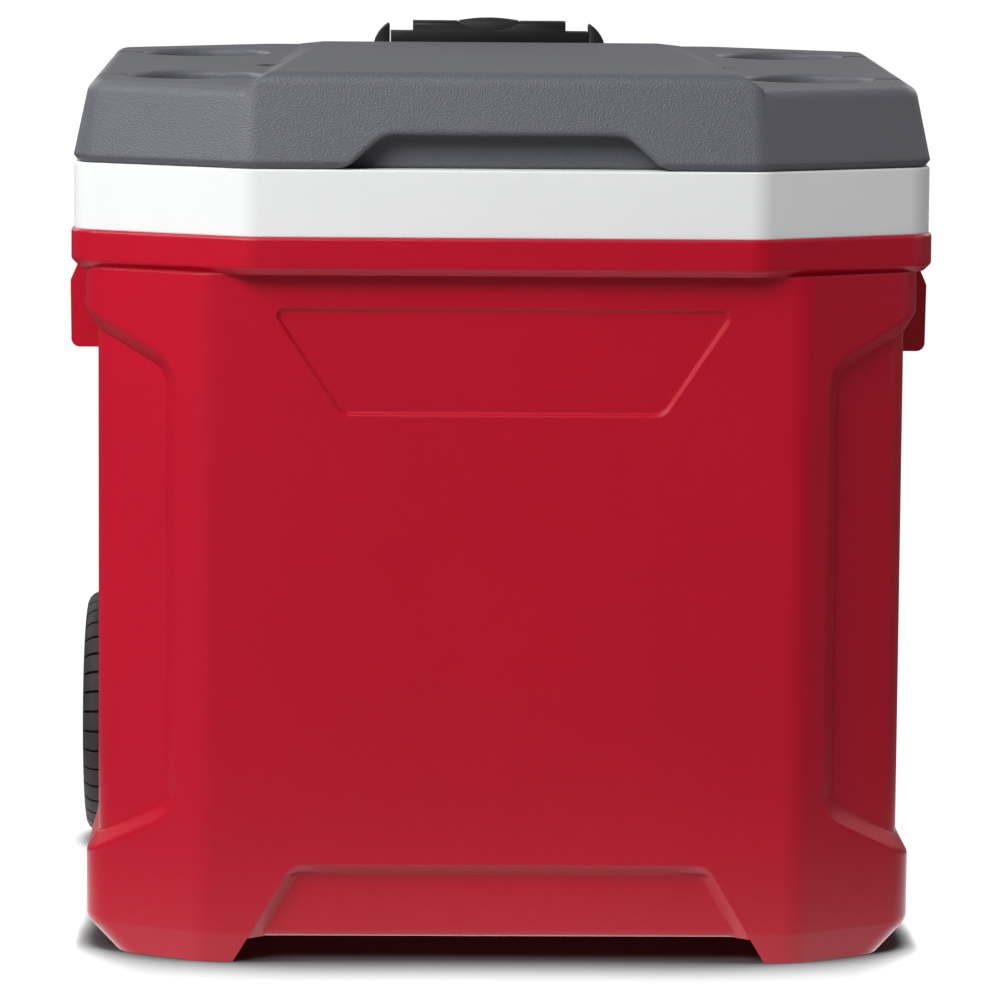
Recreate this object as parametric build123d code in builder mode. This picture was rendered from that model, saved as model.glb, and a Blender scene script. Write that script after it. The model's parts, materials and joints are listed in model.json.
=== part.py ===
"""Hard-sided cooler on two rear wheels with a hinged lid and a telescoping tow handle.

Millimetres. +X is the right side seen from the front, +Y runs to the back, +Z is up.
The origin is on the floor, in the middle of the whole object seen from above.
"""

import os
from math import atan2, cos, degrees, pi, radians, sin, tan

from build123d import *

os.makedirs("parts", exist_ok=True)

# Cuts run this far past the faces that they open, and edges are found within this distance
cut_over = 1
near = 0.1

# Plan of the rim and the body
rim_width = 491
rim_depth = 444
rim_flat = 289
rim_corner = 55
side_inset = 8.5
front_inset = 12
body_flat = 338
body_corner = 40
corner_round = 24
housing_reach = 44

# Heights
foot_height = 14
body_height = 379
rim_flare = 4
rim_height = 17.5
collar_height = 37.8
lid_gap = 0.4
lid_height = 53.7

# Shell details
wall = 4
foot_rise = 17
foot_side_draw = 18
foot_front_draw = 3
foot_soften = 9
recess_depth = 7
recess_edge = 190
recess_low = 89
recess_high = 337
recess_rise = 26
recess_round = 14
recess_bevel = 6.5
recess_soften = 5
toe_soften = 4
rim_top_round = 2
rim_low_round = 2.5
badge_top_width = 263
badge_low_width = 182
badge_height = 60.5
badge_drop = 19
badge_depth = 1.8
badge_top_round = 4.5
badge_low_round = 10
badge_lean = 40
toe_top_width = 236
toe_floor_width = 303
toe_height = 42.5
toe_depth = 6
toe_lean = 45
toe_round = 10
foot_length = 105
rear_foot_length = 95
foam_fit = 0.3

# Moulded side handles
handle_length = 180
handle_height = 53
handle_proud = 12.4
handle_lip = 8.5
handle_start = 4.7
handle_crease = 14
handle_tuck = 0.5
handle_top_round = 3
handle_low_round = 5
pocket_depth = 15
pocket_scoop = 24
pocket_height = 41
pocket_end = 10

# Liner
liner_width = 400
liner_depth = 370
liner_round = 40
liner_floor_gap = 20
liner_wall = 3
liner_bottom_round = 14
collar_inset = 1.7
collar_wall = 3
collar_round = 1.2

# Lid
lid_inset = 0.7
lid_lean = 12.2
lid_lip = 3.5
lid_edge_round = 8.6
lid_wall = 3.5
pan_thick = 3.5
deck_back_ramp = 15
deck_round = 6
holder_round = 2.5
groove_rise = 1
finger_round = 18
finger_run = 21
finger_flare = 24
plug_round = 4
deck_front_half = 132
deck_back_half = 104
deck_ramp = 13
zone_front_drop = 8.5
zone_back_drop = 1.5
holder_radius = 38
holder_x = 177
holder_front = 111
holder_back = 330
holder_depth = 12
groove_radius = 5
notch_radius = 10
notch_back = 203
notch_sink = 3
finger_width = 177.6
finger_height = 19
finger_depth = 18
plug_height = 24
plug_gap = 2.5
plug_lean = 20

# Lid hinges
hinge_x = 107
hinge_behind = 4
hinge_drop = 10
knuckle_radius = 6
hinge_pin_radius = 2.5
hinge_pin_fit = 0.06
leaf_width = 30
arm_width = 10
hinge_side_gap = 0.5
bracket_thick = 5
bracket_plate_height = 42
leaf_thick = 4
leaf_drop = 30
leaf_margin = 6
bracket_margin = 2

# Screws
screw_radius = 2.2
screw_head_radius = 4.4
screw_head_height = 2.6
screw_length = 9
leaf_screw_length = 7
screw_fit = 0.2
press_gap = 0.02

# Wheels
wheel_radius = 76.5
wheel_width = 41
wheel_lift = 5.5
axle_forward = 46
well_gap = 9.5
well_inset = 39.5
wheel_face_gap = 6
axle_radius = 6
axle_plate_size = 64
axle_plate_thick = 5
axle_boss_radius = 14
axle_boss_length = 8
bush_wall = 2.2
bush_fit = 0.05
tyre_depth = 14.5
tread_count = 38
tread_width = 4.5
tread_depth = 3
tread_round = 9
hub_web = 6
hub_rim_wall = 6
hub_boss_wall = 8
spoke_count = 6
cap_radius = 26
cap_wall = 2.5
cap_round = 2
clip_thick = 1.4
clip_radius = 10
axle_groove = 1
bush_end_gap = 0.4
hub_inset = 2
cap_space = 7
plate_screw_margin = 7
plate_screw_length = 8.5
window_margin = 4
window_share = 0.62
window_round = 4

# Tow handle
tube_x = 45
outer_tube_radius = 10
tube_wall = 1
tube_gap = 0.3
housing_half = 73.5
housing_low = 92
housing_wall = 3
tower_depth = 25
cheek_height = 54.4
cheek_width = 10
cheek_tip = 1
cheek_bow = 4.2
cheek_bow_drop = 4.1
cheek_shoulder = 12
cheek_margin = 2
neck_rise = 16
neck_slope = 0.7
neck_gap = 4
block_height = 26
bottom_block = 22
housing_round = 8
housing_flange = 5
housing_screw_margin = 12
flute_count = 4
flute_pitch = 18
flute_width = 12
flute_depth = 1.4
flute_margin = 38
collar_ring_height = 5
collar_ring_wall = 2.5
collar_fit = 0.15
stage_gap = 0.4
guide_height = 10
guide_fit = 0.2
stage_step = 16
tube_floor = 4
grip_half = 62.9
grip_depth = 22
grip_rise = 11.6
grip_step = 6.5
cover_depth = 8.5
base_depth = 17
grip_drop = 24
grip_deck_half = 48.7
grip_wall = 2.5
grip_round = 2.5
grip_low_round = 7
grip_seat = 9
grip_floor = 1
grip_screw_x = 57
grip_screw_bite = 6
grip_screw_radius = 1.5
grip_screw_head = 2.8
button_half = 20
button_crown = 2
button_skirt = 6
button_travel = 3.5
button_fit = 0.4
button_edge = 0.6
yoke_height = 3.5
yoke_depth = 6
rod_radius = 2
rod_gap = 0.6
spring_radius = 2.6
spring_wire = 0.6
lock_pin_radius = 1.8
lock_pin_start = 0.5
middle_pin_drop = 5
inner_pin_drop = 7

# Drain
drain_x = 140
drain_bore = 9
drain_wall = 3
drain_fit = 0.2
drain_flange = 5
drain_flange_thick = 3
gasket_thick = 2
nut_thick = 6
nut_flats = 34
plug_grip_radius = 15
plug_grip_thick = 9
plug_stem = 22
plug_fit = 0.3
seal_thick = 2
spout_proud = 10
plug_flute = 3
plug_flute_out = 1
stopper_round = 1
plug_flute_count = 8

# Places that follow from the sizes
front = -(rim_depth + housing_reach) / 2
rim_back = front + rim_depth
back = rim_back + housing_reach
body_front = front + front_inset
body_back = rim_back - front_inset
body_width = rim_width - 2 * side_inset
middle_y = (body_front + body_back) / 2
body_top = foot_height + body_height
rim_low = body_top + rim_flare
rim_top = rim_low + rim_height
collar_top = rim_top + collar_height
lid_low = collar_top + lid_gap
lid_top_z = lid_low + lid_height
shell_floor = foot_height + wall
liner_floor = shell_floor + liner_floor_gap
axle_y = rim_back - axle_forward
axle_z = wheel_lift + wheel_radius
well_face = rim_width / 2 - well_inset
well_radius = wheel_radius + well_gap
hinge_y = rim_back + hinge_behind
hinge_z = lid_top_z - hinge_drop
tube_y = back - tower_depth / 2
tower_front = back - tower_depth
grip_top = lid_top_z + grip_rise
grip_shoulder = grip_top - grip_step
grip_split = grip_shoulder - cover_depth
grip_low = grip_split - base_depth
housing_top = grip_low - grip_drop
tube_low = housing_low + tube_floor
beyond = 60
flare_lean = 45
liner_back = middle_y + liner_depth / 2
drain_radius = drain_bore + drain_wall
drain_z = liner_floor + liner_bottom_round + drain_radius + drain_flange + drain_fit

rim_plan = (rim_width / 2, front, rim_back, rim_flat / 2, rim_corner)
body_plan = (body_width / 2, body_front, body_back, body_flat / 2, body_corner)
foot_half = body_width / 2 - foot_side_draw
foot_corner = body_corner * (foot_half - body_flat / 2) / (body_width / 2 - body_flat / 2)
foot_plan = (foot_half, body_front + foot_front_draw, body_back - foot_front_draw,
             body_flat / 2, foot_corner)


bracket_half = leaf_width / 2 + hinge_side_gap + arm_width
bracket_low = rim_low + bracket_margin
leaf_low = hinge_z - leaf_drop
housing_step = body_top - front_inset
plate_screw_reach = axle_plate_size / 2 - plate_screw_margin


def lid_back_y(z):
    """Depth of the leaning back face of the lid at height z."""
    return rim_back - lid_inset - (z - lid_low) * tan(radians(lid_lean))


def screw_group(planes, length):
    """Pan-head screws whose heads sit on the given planes."""
    with BuildPart() as group:
        with Locations(*planes):
            Cylinder(screw_head_radius, screw_head_height, align=(Align.CENTER, Align.CENTER, Align.MIN))
            Cylinder(screw_radius, length, align=(Align.CENTER, Align.CENTER, Align.MAX))
    return group.part


def screw_holes(planes, length):
    """Clearance holes for the shanks of those screws."""
    with BuildPart() as holes:
        with Locations(*planes):
            Cylinder(screw_radius + screw_fit, length + screw_fit,
                     align=(Align.CENTER, Align.CENTER, Align.MAX))
    return holes.part


bracket_screw_z = (bracket_low + rim_top) / 2
bracket_screw_planes = [
    Plane(origin=(side * hinge_x + offset * bracket_half / 2, rim_back + bracket_thick, bracket_screw_z),
          z_dir=(0, 1, 0))
    for side in (-1, 1)
    for offset in (-1, 1)
]
leaf_screw_z = leaf_low + leaf_margin
leaf_screw_planes = [
    Plane(origin=(side * hinge_x + offset * leaf_width / 4, lid_back_y(leaf_screw_z) + leaf_thick,
                  leaf_screw_z),
          z_dir=(0, cos(radians(lid_lean)), sin(radians(lid_lean))))
    for side in (-1, 1)
    for offset in (-1, 1)
]
plate_screw_planes = [
    Plane(origin=(side * (well_face + axle_plate_thick), axle_y + a * plate_screw_reach,
                  axle_z + b * plate_screw_reach),
          z_dir=(side, 0, 0))
    for side in (-1, 1)
    for a in (-1, 1)
    for b in (-1, 1)
]
housing_screw_heights = (
    housing_low + housing_screw_margin,
    (housing_low + housing_step) / 2,
    housing_step - housing_screw_margin,
)
housing_screw_planes = [
    Plane(origin=(side * (housing_half - housing_screw_margin), body_back + housing_flange, z),
          z_dir=(0, 1, 0))
    for side in (-1, 1)
    for z in housing_screw_heights
]


def outline(level, plan, inset=0.0):
    """Slant-cornered plan of the rim or the body, drawn in from its edge by inset."""
    half, y_low, y_high, flat, corner = plan
    slant = atan2(corner, half - flat)
    flat_in = flat - inset * tan(slant / 2)
    corner_in = corner - inset + inset * tan((pi / 2 - slant) / 2)
    x_in = half - inset
    y_in = y_low + inset
    y_out = y_high - inset
    corners = [
        (-flat_in, y_in),
        (flat_in, y_in),
        (x_in, y_in + corner_in),
        (x_in, y_out - corner_in),
        (flat_in, y_out),
        (-flat_in, y_out),
        (-x_in, y_out - corner_in),
        (-x_in, y_in + corner_in),
    ]
    with BuildSketch(Plane.XY.offset(level)) as plan_sketch:
        with BuildLine():
            Polyline(*corners, close=True)
        make_face()
        fillet(plan_sketch.vertices(), max(corner_round - inset, wall))
    return plan_sketch.sketch


def tub_outline(level, inset=0.0):
    """Rounded rectangle of the liner's tub, drawn in by inset."""
    with BuildSketch(Plane.XY.offset(level)) as tub_sketch:
        with Locations((0, middle_y)):
            RectangleRounded(liner_width - 2 * inset, liner_depth - 2 * inset, liner_round - inset)
    return tub_sketch.sketch


def tub_block(inset=0.0):
    """Solid the size of the tub with its bottom edge rounded, drawn in by inset."""
    low = liner_floor + inset
    with BuildPart() as block:
        extrude(tub_outline(low, inset), amount=collar_top - low)
        fillet(block.faces().sort_by(Axis.Z)[0].edges(), liner_bottom_round - inset)
    return block.part


def side_recesses():
    """Shallow recesses on the sides that wrap round the slanted corners."""
    reach = body_width / 2 + beyond
    run = reach - recess_edge
    slope = recess_rise / (body_width / 2 - recess_edge)
    with BuildPart() as cutter:
        for sign in (-1, 1):
            points = [
                (sign * recess_edge, recess_low),
                (sign * recess_edge, recess_high),
                (sign * reach, recess_high + slope * run),
                (sign * reach, recess_low - slope * run),
            ]
            with BuildSketch(Plane.XZ.offset(-body_front + beyond)) as mask:
                with BuildLine():
                    Polyline(*points, close=True)
                make_face()
                inner = mask.vertices().group_by(Axis.X)[-1 if sign < 0 else 0]
                fillet(inner, recess_round)
            extrude(amount=-(body_back - body_front + 2 * beyond))
        extrude(outline(-beyond, body_plan, recess_depth), amount=body_top + 3 * beyond,
                mode=Mode.SUBTRACT)
    return cutter.part


def plan_depth(point):
    """Distance of a point inside the upright faces of the body."""
    slant = atan2(body_corner, body_width / 2 - body_flat / 2)
    from_side = body_width / 2 - abs(point.X)
    from_end = (body_back - body_front) / 2 - abs(point.Y - middle_y)
    from_corner = from_end * cos(slant) - (abs(point.X) - body_flat / 2) * sin(slant)
    return min(from_side, from_end, from_corner)


def on_outside(edge):
    """Whether an edge runs along the upright faces of the body."""
    return max(plan_depth(edge @ share) for share in (0, 0.5, 1)) < recess_depth - 2 * cut_over


def wheel_wells(grow=0.0):
    """Arched pockets at the rear corners that the wheels stand in."""
    radius = well_radius + grow
    with BuildPart() as wells:
        for sign in (-1, 1):
            start = sign * (well_face - grow)
            with BuildSketch(Plane.YZ.offset(start)):
                with Locations((axle_y, axle_z)):
                    Circle(radius)
                with Locations((axle_y - radius, axle_z)):
                    Rectangle(2 * radius + beyond, axle_z + beyond, align=(Align.MIN, Align.MAX))
            extrude(amount=sign * (rim_width / 2 - well_face + grow + beyond))
    return wells.part


def handle_pockets(grow=0.0):
    """Finger spaces behind the moulded side handles, open underneath."""
    floor_x = body_width / 2 - recess_depth
    inner = floor_x - pocket_depth - grow
    outer = body_width / 2 + handle_proud - handle_lip + grow
    low = body_top - handle_height
    top = low + pocket_height + grow
    length = handle_length - 2 * pocket_end + 2 * grow
    with BuildPart() as pockets:
        for sign in (-1, 1):
            with BuildSketch(Plane.XZ.offset(-(middle_y - length / 2))):
                with BuildLine():
                    Polyline(
                        (sign * inner, top),
                        (sign * inner, low - grow),
                        (sign * floor_x, low - pocket_scoop - 2 * grow),
                        (sign * outer, low - pocket_scoop - 2 * grow),
                        (sign * outer, top),
                        close=True,
                    )
                make_face()
            extrude(amount=-length)
    return pockets.part


def insulation_space(clear=0.0):
    """The hollow of the outer shell, drawn in by clear on every side."""
    inset = recess_depth + wall + clear
    front_half = body_flat / 2 - 2 * inset
    low = foot_height + toe_height + wall + clear
    with BuildPart() as space:
        extrude(outline(shell_floor + clear, body_plan, inset), amount=rim_top - shell_floor - clear)
        with Locations((0, middle_y, low)):
            Box(2 * front_half, body_back - body_front - 2 * (wall + clear), body_top - low,
                align=(Align.CENTER, Align.CENTER, Align.MIN))
        extrude(outline(rim_low, rim_plan, wall + clear), amount=rim_height)
        add(wheel_wells(wall + clear), mode=Mode.SUBTRACT)
        add(handle_pockets(wall + clear), mode=Mode.SUBTRACT)
    return space.part


def side_handle_blocks():
    """Down-turned lips of the side handles before the finger space is cut."""
    root = body_width / 2 - recess_depth - wall
    edge = body_width / 2
    low = body_top - handle_height
    out = edge + handle_proud
    with BuildPart() as blocks:
        for sign in (-1, 1):
            with BuildSketch(Plane.XZ.offset(-(middle_y - handle_length / 2))) as profile:
                with BuildLine():
                    Polyline(
                        (sign * root, rim_low),
                        (sign * (edge + handle_start), rim_low),
                        (sign * out, body_top - handle_crease),
                        (sign * (out - handle_tuck), low),
                        (sign * root, low),
                        close=True,
                    )
                make_face()
                outer_corners = profile.vertices().sort_by(lambda corner: sign * corner.X)[-2:]
                fillet(outer_corners.sort_by(Axis.Y)[-1], handle_top_round)
                fillet(profile.vertices().sort_by(lambda corner: sign * corner.X - corner.Y)[-1],
                       handle_low_round)
            extrude(amount=-handle_length)
    return blocks.part


# Outer shell: body, rim, feet, recesses and side handles in one moulding
with BuildPart() as outer_shell:
    extrude(outline(foot_rise, body_plan), amount=body_top - foot_rise)
    loft([outline(0, foot_plan).face(), outline(foot_rise, body_plan).face()], ruled=True)
    foot_edges = outer_shell.edges().filter_by_position(Axis.Z, foot_rise - near, foot_rise + near)
    fillet(foot_edges, foot_soften)
    add(side_recesses(), mode=Mode.SUBTRACT)
    recess_edges = outer_shell.edges(Select.LAST)
    chamfer(recess_edges.filter_by(on_outside), recess_bevel)
    fillet(outer_shell.edges(Select.LAST).filter_by(on_outside), recess_soften)
    # Toe recess between the front feet
    with BuildSketch(Plane.XZ.offset(-body_front)) as toe:
        with BuildLine():
            Polyline(
                (-toe_floor_width / 2, -toe_depth - cut_over),
                (-toe_floor_width / 2, 0),
                (-toe_top_width / 2, foot_height + toe_height),
                (toe_top_width / 2, foot_height + toe_height),
                (toe_floor_width / 2, 0),
                (toe_floor_width / 2, -toe_depth - cut_over),
                close=True,
            )
        make_face()
        fillet(toe.vertices().group_by(Axis.Y)[-1], toe_round)
    extrude(amount=-toe_depth, taper=toe_lean, mode=Mode.SUBTRACT)
    # Shallow bare badge panel under the rim
    badge_z = body_top - badge_drop
    with BuildSketch(Plane.XZ.offset(-body_front)) as badge:
        with BuildLine():
            Polyline(
                (-badge_top_width / 2, badge_z),
                (badge_top_width / 2, badge_z),
                (badge_low_width / 2, badge_z - badge_height),
                (-badge_low_width / 2, badge_z - badge_height),
                close=True,
            )
        make_face()
        fillet(badge.vertices().group_by(Axis.Y)[-1], badge_top_round)
        fillet(badge.vertices().group_by(Axis.Y)[0], badge_low_round)
    extrude(amount=-badge_depth, taper=badge_lean, mode=Mode.SUBTRACT)
    # Rim and its flared underside
    extrude(outline(rim_low, rim_plan), amount=rim_height)
    extrude(outline(rim_low, rim_plan), amount=-rim_flare, taper=flare_lean)
    fillet(outer_shell.faces().sort_by(Axis.Z)[-1].edges(), rim_top_round)
    rim_edge = outer_shell.edges().filter_by_position(
        Axis.Z, rim_low - near, rim_low + near)
    fillet(rim_edge, rim_low_round)
    # Side handles with their finger spaces
    add(side_handle_blocks())
    add(handle_pockets(), mode=Mode.SUBTRACT)
    # Gaps under the body that leave four feet
    toe_slope = (toe_floor_width - toe_top_width) / (foot_height + toe_height)
    toe_low_width = toe_top_width + toe_slope * toe_height
    with BuildSketch(Plane.XZ.offset(-front + beyond)):
        with BuildLine():
            Polyline(
                (-toe_floor_width / 2, -cut_over),
                (-toe_floor_width / 2, 0),
                (-toe_low_width / 2, foot_height),
                (toe_low_width / 2, foot_height),
                (toe_floor_width / 2, 0),
                (toe_floor_width / 2, -cut_over),
                close=True,
            )
        make_face()
    extrude(amount=-(rim_depth + 2 * beyond), mode=Mode.SUBTRACT)
    gap_length = body_back - body_front - foot_length - rear_foot_length
    with Locations((0, body_front + foot_length, 0)):
        Box(rim_width, gap_length, 2 * foot_height, align=(Align.CENTER, Align.MIN, Align.CENTER),
            mode=Mode.SUBTRACT)
    toe_edge = outer_shell.edges().filter_by(Axis.X).filter_by_position(
        Axis.Z, foot_height - near, foot_height + near).sort_by(Axis.Y)[0]
    fillet(toe_edge, toe_soften)
    add(wheel_wells(), mode=Mode.SUBTRACT)
    add(insulation_space(), mode=Mode.SUBTRACT)
    # Drain hole low in the back wall
    with Locations(Plane(origin=(drain_x, body_back, drain_z), z_dir=(0, 1, 0))):
        Cylinder(drain_radius + drain_fit, 2 * (recess_depth + 2 * wall), mode=Mode.SUBTRACT)
    # Screw holes for the hinges, the handle housing and the axle plates
    add(screw_holes(bracket_screw_planes, screw_length), mode=Mode.SUBTRACT)
    add(screw_holes(housing_screw_planes, screw_length), mode=Mode.SUBTRACT)
    add(screw_holes(plate_screw_planes, plate_screw_length), mode=Mode.SUBTRACT)

outer_shell.part.label = "outer_shell"
export_step(outer_shell.part, "parts/outer_shell.step")

# Inner liner: white tub whose collar shows between the rim and the lid
with BuildPart() as inner_liner:
    extrude(outline(rim_top, rim_plan, collar_inset), amount=collar_height)
    extrude(outline(rim_top, rim_plan, collar_inset + collar_wall), amount=collar_height - collar_wall,
            mode=Mode.SUBTRACT)
    add(tub_block())
    add(tub_block(liner_wall), mode=Mode.SUBTRACT)
    fillet(inner_liner.faces().sort_by(Axis.Z)[-1].edges(), collar_round)
    with Locations(Plane(origin=(drain_x, liner_back, drain_z), z_dir=(0, 1, 0))):
        Cylinder(drain_radius + drain_fit, 4 * liner_wall, mode=Mode.SUBTRACT)

inner_liner.part.label = "inner_liner"
export_step(inner_liner.part, "parts/inner_liner.step")

# Body foam between the shell and the liner
with BuildPart() as body_foam:
    add(insulation_space(foam_fit))
    extrude(outline(rim_top, rim_plan, collar_inset + collar_wall + foam_fit),
            amount=collar_height - collar_wall - foam_fit)
    add(tub_block(-foam_fit), mode=Mode.SUBTRACT)
    with Locations(Plane(origin=(drain_x, (liner_back + body_back) / 2, drain_z), z_dir=(0, 1, 0))):
        Cylinder(drain_radius + drain_fit, liner_depth / 2, mode=Mode.SUBTRACT)

body_foam.part.label = "body_foam"
export_step(body_foam.part, "parts/body_foam.step")


def zone_level(y):
    """Height of the tilted can-holder areas of the lid at depth y."""
    share = (y - front) / rim_depth
    return lid_top_z - zone_front_drop + (zone_front_drop - zone_back_drop) * share


def deck_section(y, half, ramp, drop):
    """Upright section of the raised deck with its ramped sides."""
    with BuildSketch(Plane.XZ.offset(-y)) as section:
        with BuildLine():
            Polyline(
                (-half, lid_top_z),
                (half, lid_top_z),
                (half + ramp, lid_top_z - drop),
                (half + ramp, lid_low),
                (-half - ramp, lid_low),
                (-half - ramp, lid_top_z - drop),
                close=True,
            )
        make_face()
        fillet(section.vertices().group_by(Axis.Y)[-1], deck_round)
    return section.sketch.face()


holder_places = [
    (sign * holder_x, front + back_by)
    for sign in (-1, 1)
    for back_by in (holder_front, holder_back)
]


def finger_recess(grow=0.0):
    """Hollow under the front edge of the lid that the fingers lift it by."""
    half = finger_width / 2 + grow
    top = lid_low + finger_height + grow
    with BuildPart() as recess:
        with BuildSketch(Plane.XZ.offset(-front + beyond)) as mouth:
            with BuildLine():
                Polyline(
                    (-half - finger_flare, lid_low - beyond),
                    (-half - finger_flare, lid_low),
                    (-half, lid_low),
                    (-half + finger_run, top),
                    (half - finger_run, top),
                    (half, lid_low),
                    (half + finger_flare, lid_low),
                    (half + finger_flare, lid_low - beyond),
                    close=True,
                )
            make_face()
            fillet(mouth.vertices().group_by(Axis.Y)[-1], finger_round)
            flares = mouth.vertices().filter_by_position(Axis.X, -half - cut_over, half + cut_over)
            fillet(flares.group_by(Axis.Y)[0], finger_round)
        extrude(amount=-(beyond + finger_depth + grow))
    return recess.part


def lid_space(clear=0.0):
    """The hollow of the lid above its pan, drawn in by clear on every side."""
    inset = lid_inset + lid_wall + clear
    floor_level = lid_low + pan_thick + clear
    low_top = zone_level(front + holder_front) - holder_depth - lid_wall - clear
    zone_top = lid_top_z - zone_front_drop - lid_wall - clear
    deck_top = lid_top_z - lid_wall - clear
    lean_in = (deck_top - lid_low) * tan(radians(lid_lean))
    edge_x = rim_width / 2 - inset - lean_in
    edge_y = rim_depth / 2 - inset - lean_in
    rim_middle = (front + rim_back) / 2
    deck_half = deck_back_half - lid_wall - clear
    zone_in = deck_back_half + clear
    with BuildPart() as space:
        extrude(outline(floor_level, rim_plan, inset + (floor_level - lid_low) * tan(radians(lid_lean))),
                amount=low_top - floor_level, taper=lid_lean)
        with Locations((0, rim_middle, floor_level)):
            Box(2 * deck_half, 2 * edge_y, deck_top - floor_level,
                align=(Align.CENTER, Align.CENTER, Align.MIN))
        for sign in (-1, 1):
            with Locations((sign * (zone_in + edge_x) / 2, rim_middle, floor_level)):
                Box(edge_x - zone_in, 2 * (edge_y - rim_corner), zone_top - floor_level,
                    align=(Align.CENTER, Align.CENTER, Align.MIN))
        for x, y in holder_places:
            with Locations((x, y, low_top)):
                Cylinder(holder_radius + lid_wall + clear, beyond,
                         align=(Align.CENTER, Align.CENTER, Align.MIN), mode=Mode.SUBTRACT)
            groove_low = zone_level(y) + groove_rise - groove_radius - lid_wall - clear
            with Locations((x, y, groove_low)):
                Box(2 * beyond, 2 * (groove_radius + lid_wall + clear), beyond,
                    align=(Align.MIN if x > 0 else Align.MAX, Align.CENTER, Align.MIN), mode=Mode.SUBTRACT)
        add(finger_recess(lid_wall + clear), mode=Mode.SUBTRACT)
    return space.part


def pan_opening():
    """Opening in the bottom of the lid that its pan fills."""
    with BuildPart() as opening:
        extrude(outline(lid_low, rim_plan, lid_inset + lid_lip + lid_wall), amount=2 * pan_thick)
        add(finger_recess(lid_wall), mode=Mode.SUBTRACT)
    return opening.part


def lid_blank():
    """Lid of full height with its leaning sides, before it is shaped."""
    with BuildPart() as blank:
        extrude(outline(lid_low, rim_plan, lid_inset), amount=lid_height, taper=lid_lean)
    return blank.part


# Raised deck in the middle of the lid
with BuildPart() as deck:
    add(lid_blank())
    fillet(deck.faces().sort_by(Axis.Z)[-1].edges(), lid_edge_round)
    loft([
        deck_section(front, deck_front_half, deck_ramp, zone_front_drop),
        deck_section(rim_back, deck_back_half, deck_back_ramp, zone_back_drop),
    ], ruled=True, mode=Mode.INTERSECT)

zone_plane = Plane(
    origin=(0, front, zone_level(front)),
    x_dir=(1, 0, 0),
    z_dir=(0, zone_level(front) - zone_level(rim_back), rim_depth),
)
# Lid top: grey moulding with a raised deck, can holders and a finger recess
with BuildPart() as lid_top:
    add(lid_blank())
    split(bisect_by=zone_plane, keep=Keep.BOTTOM)
    fillet(lid_top.faces().sort_by(Axis.Z)[-1].edges(), lid_edge_round)
    add(deck.part)
    chamfer(lid_top.faces().sort_by(Axis.Z)[0].edges(), lid_lip)
    for x, y in holder_places:
        level = zone_level(y)
        with Locations((x, y, level - holder_depth)):
            Cylinder(holder_radius, beyond, align=(Align.CENTER, Align.CENTER, Align.MIN),
                     mode=Mode.SUBTRACT)
        rims = lid_top.edges(Select.LAST).filter_by(lambda edge: edge.length > pi * holder_radius)
        fillet(rims, holder_round)
    for x, y in holder_places:
        run = rim_width / 2 - holder_x
        middle = x + (holder_radius / 2 + run / 2) * x / abs(x)
        with Locations(Plane(origin=(middle, y, zone_level(y) + groove_rise), z_dir=(1, 0, 0))):
            Cylinder(groove_radius, run, mode=Mode.SUBTRACT)
    # Half-round notches at the foot of the deck's sides
    notch_share = notch_back / rim_depth
    notch_x = ((deck_front_half + deck_ramp) * (1 - notch_share)
               + (deck_back_half + deck_back_ramp) * notch_share)
    notch_z = zone_level(front + notch_back) - notch_sink
    with Locations((-notch_x, front + notch_back, notch_z), (notch_x, front + notch_back, notch_z)):
        Cylinder(notch_radius, beyond, align=(Align.CENTER, Align.CENTER, Align.MIN), mode=Mode.SUBTRACT)
    add(finger_recess(), mode=Mode.SUBTRACT)
    add(lid_space(), mode=Mode.SUBTRACT)
    add(pan_opening(), mode=Mode.SUBTRACT)
    add(screw_holes(leaf_screw_planes, leaf_screw_length), mode=Mode.SUBTRACT)

lid_top.part.label = "lid_top"
export_step(lid_top.part, "parts/lid_top.step")

# Lid pan: white underside with a tapered plug that drops into the tub
pan_inset = lid_inset + lid_lip + lid_wall + foam_fit
with BuildPart() as lid_pan:
    extrude(outline(lid_low, rim_plan, pan_inset), amount=pan_thick)
    extrude(tub_outline(lid_low, liner_wall + plug_gap), amount=-plug_height, taper=plug_lean)
    fillet(lid_pan.faces().sort_by(Axis.Z)[0].edges(), plug_round)
    extrude(tub_outline(lid_low + pan_thick, 2 * liner_wall + plug_gap),
            amount=liner_wall - plug_height - pan_thick, taper=plug_lean, mode=Mode.SUBTRACT)
    add(finger_recess(lid_wall + foam_fit), mode=Mode.SUBTRACT)

lid_pan.part.label = "lid_pan"
export_step(lid_pan.part, "parts/lid_pan.step")

# Lid foam over the pan
with BuildPart() as lid_foam:
    add(lid_space(foam_fit))
    extrude(tub_outline(lid_low + pan_thick + 2 * foam_fit, 2 * liner_wall + plug_gap + 2 * foam_fit),
            amount=liner_wall + 2 * foam_fit - plug_height - pan_thick, taper=plug_lean)

lid_foam.part.label = "lid_foam"
export_step(lid_foam.part, "parts/lid_foam.step")

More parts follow.
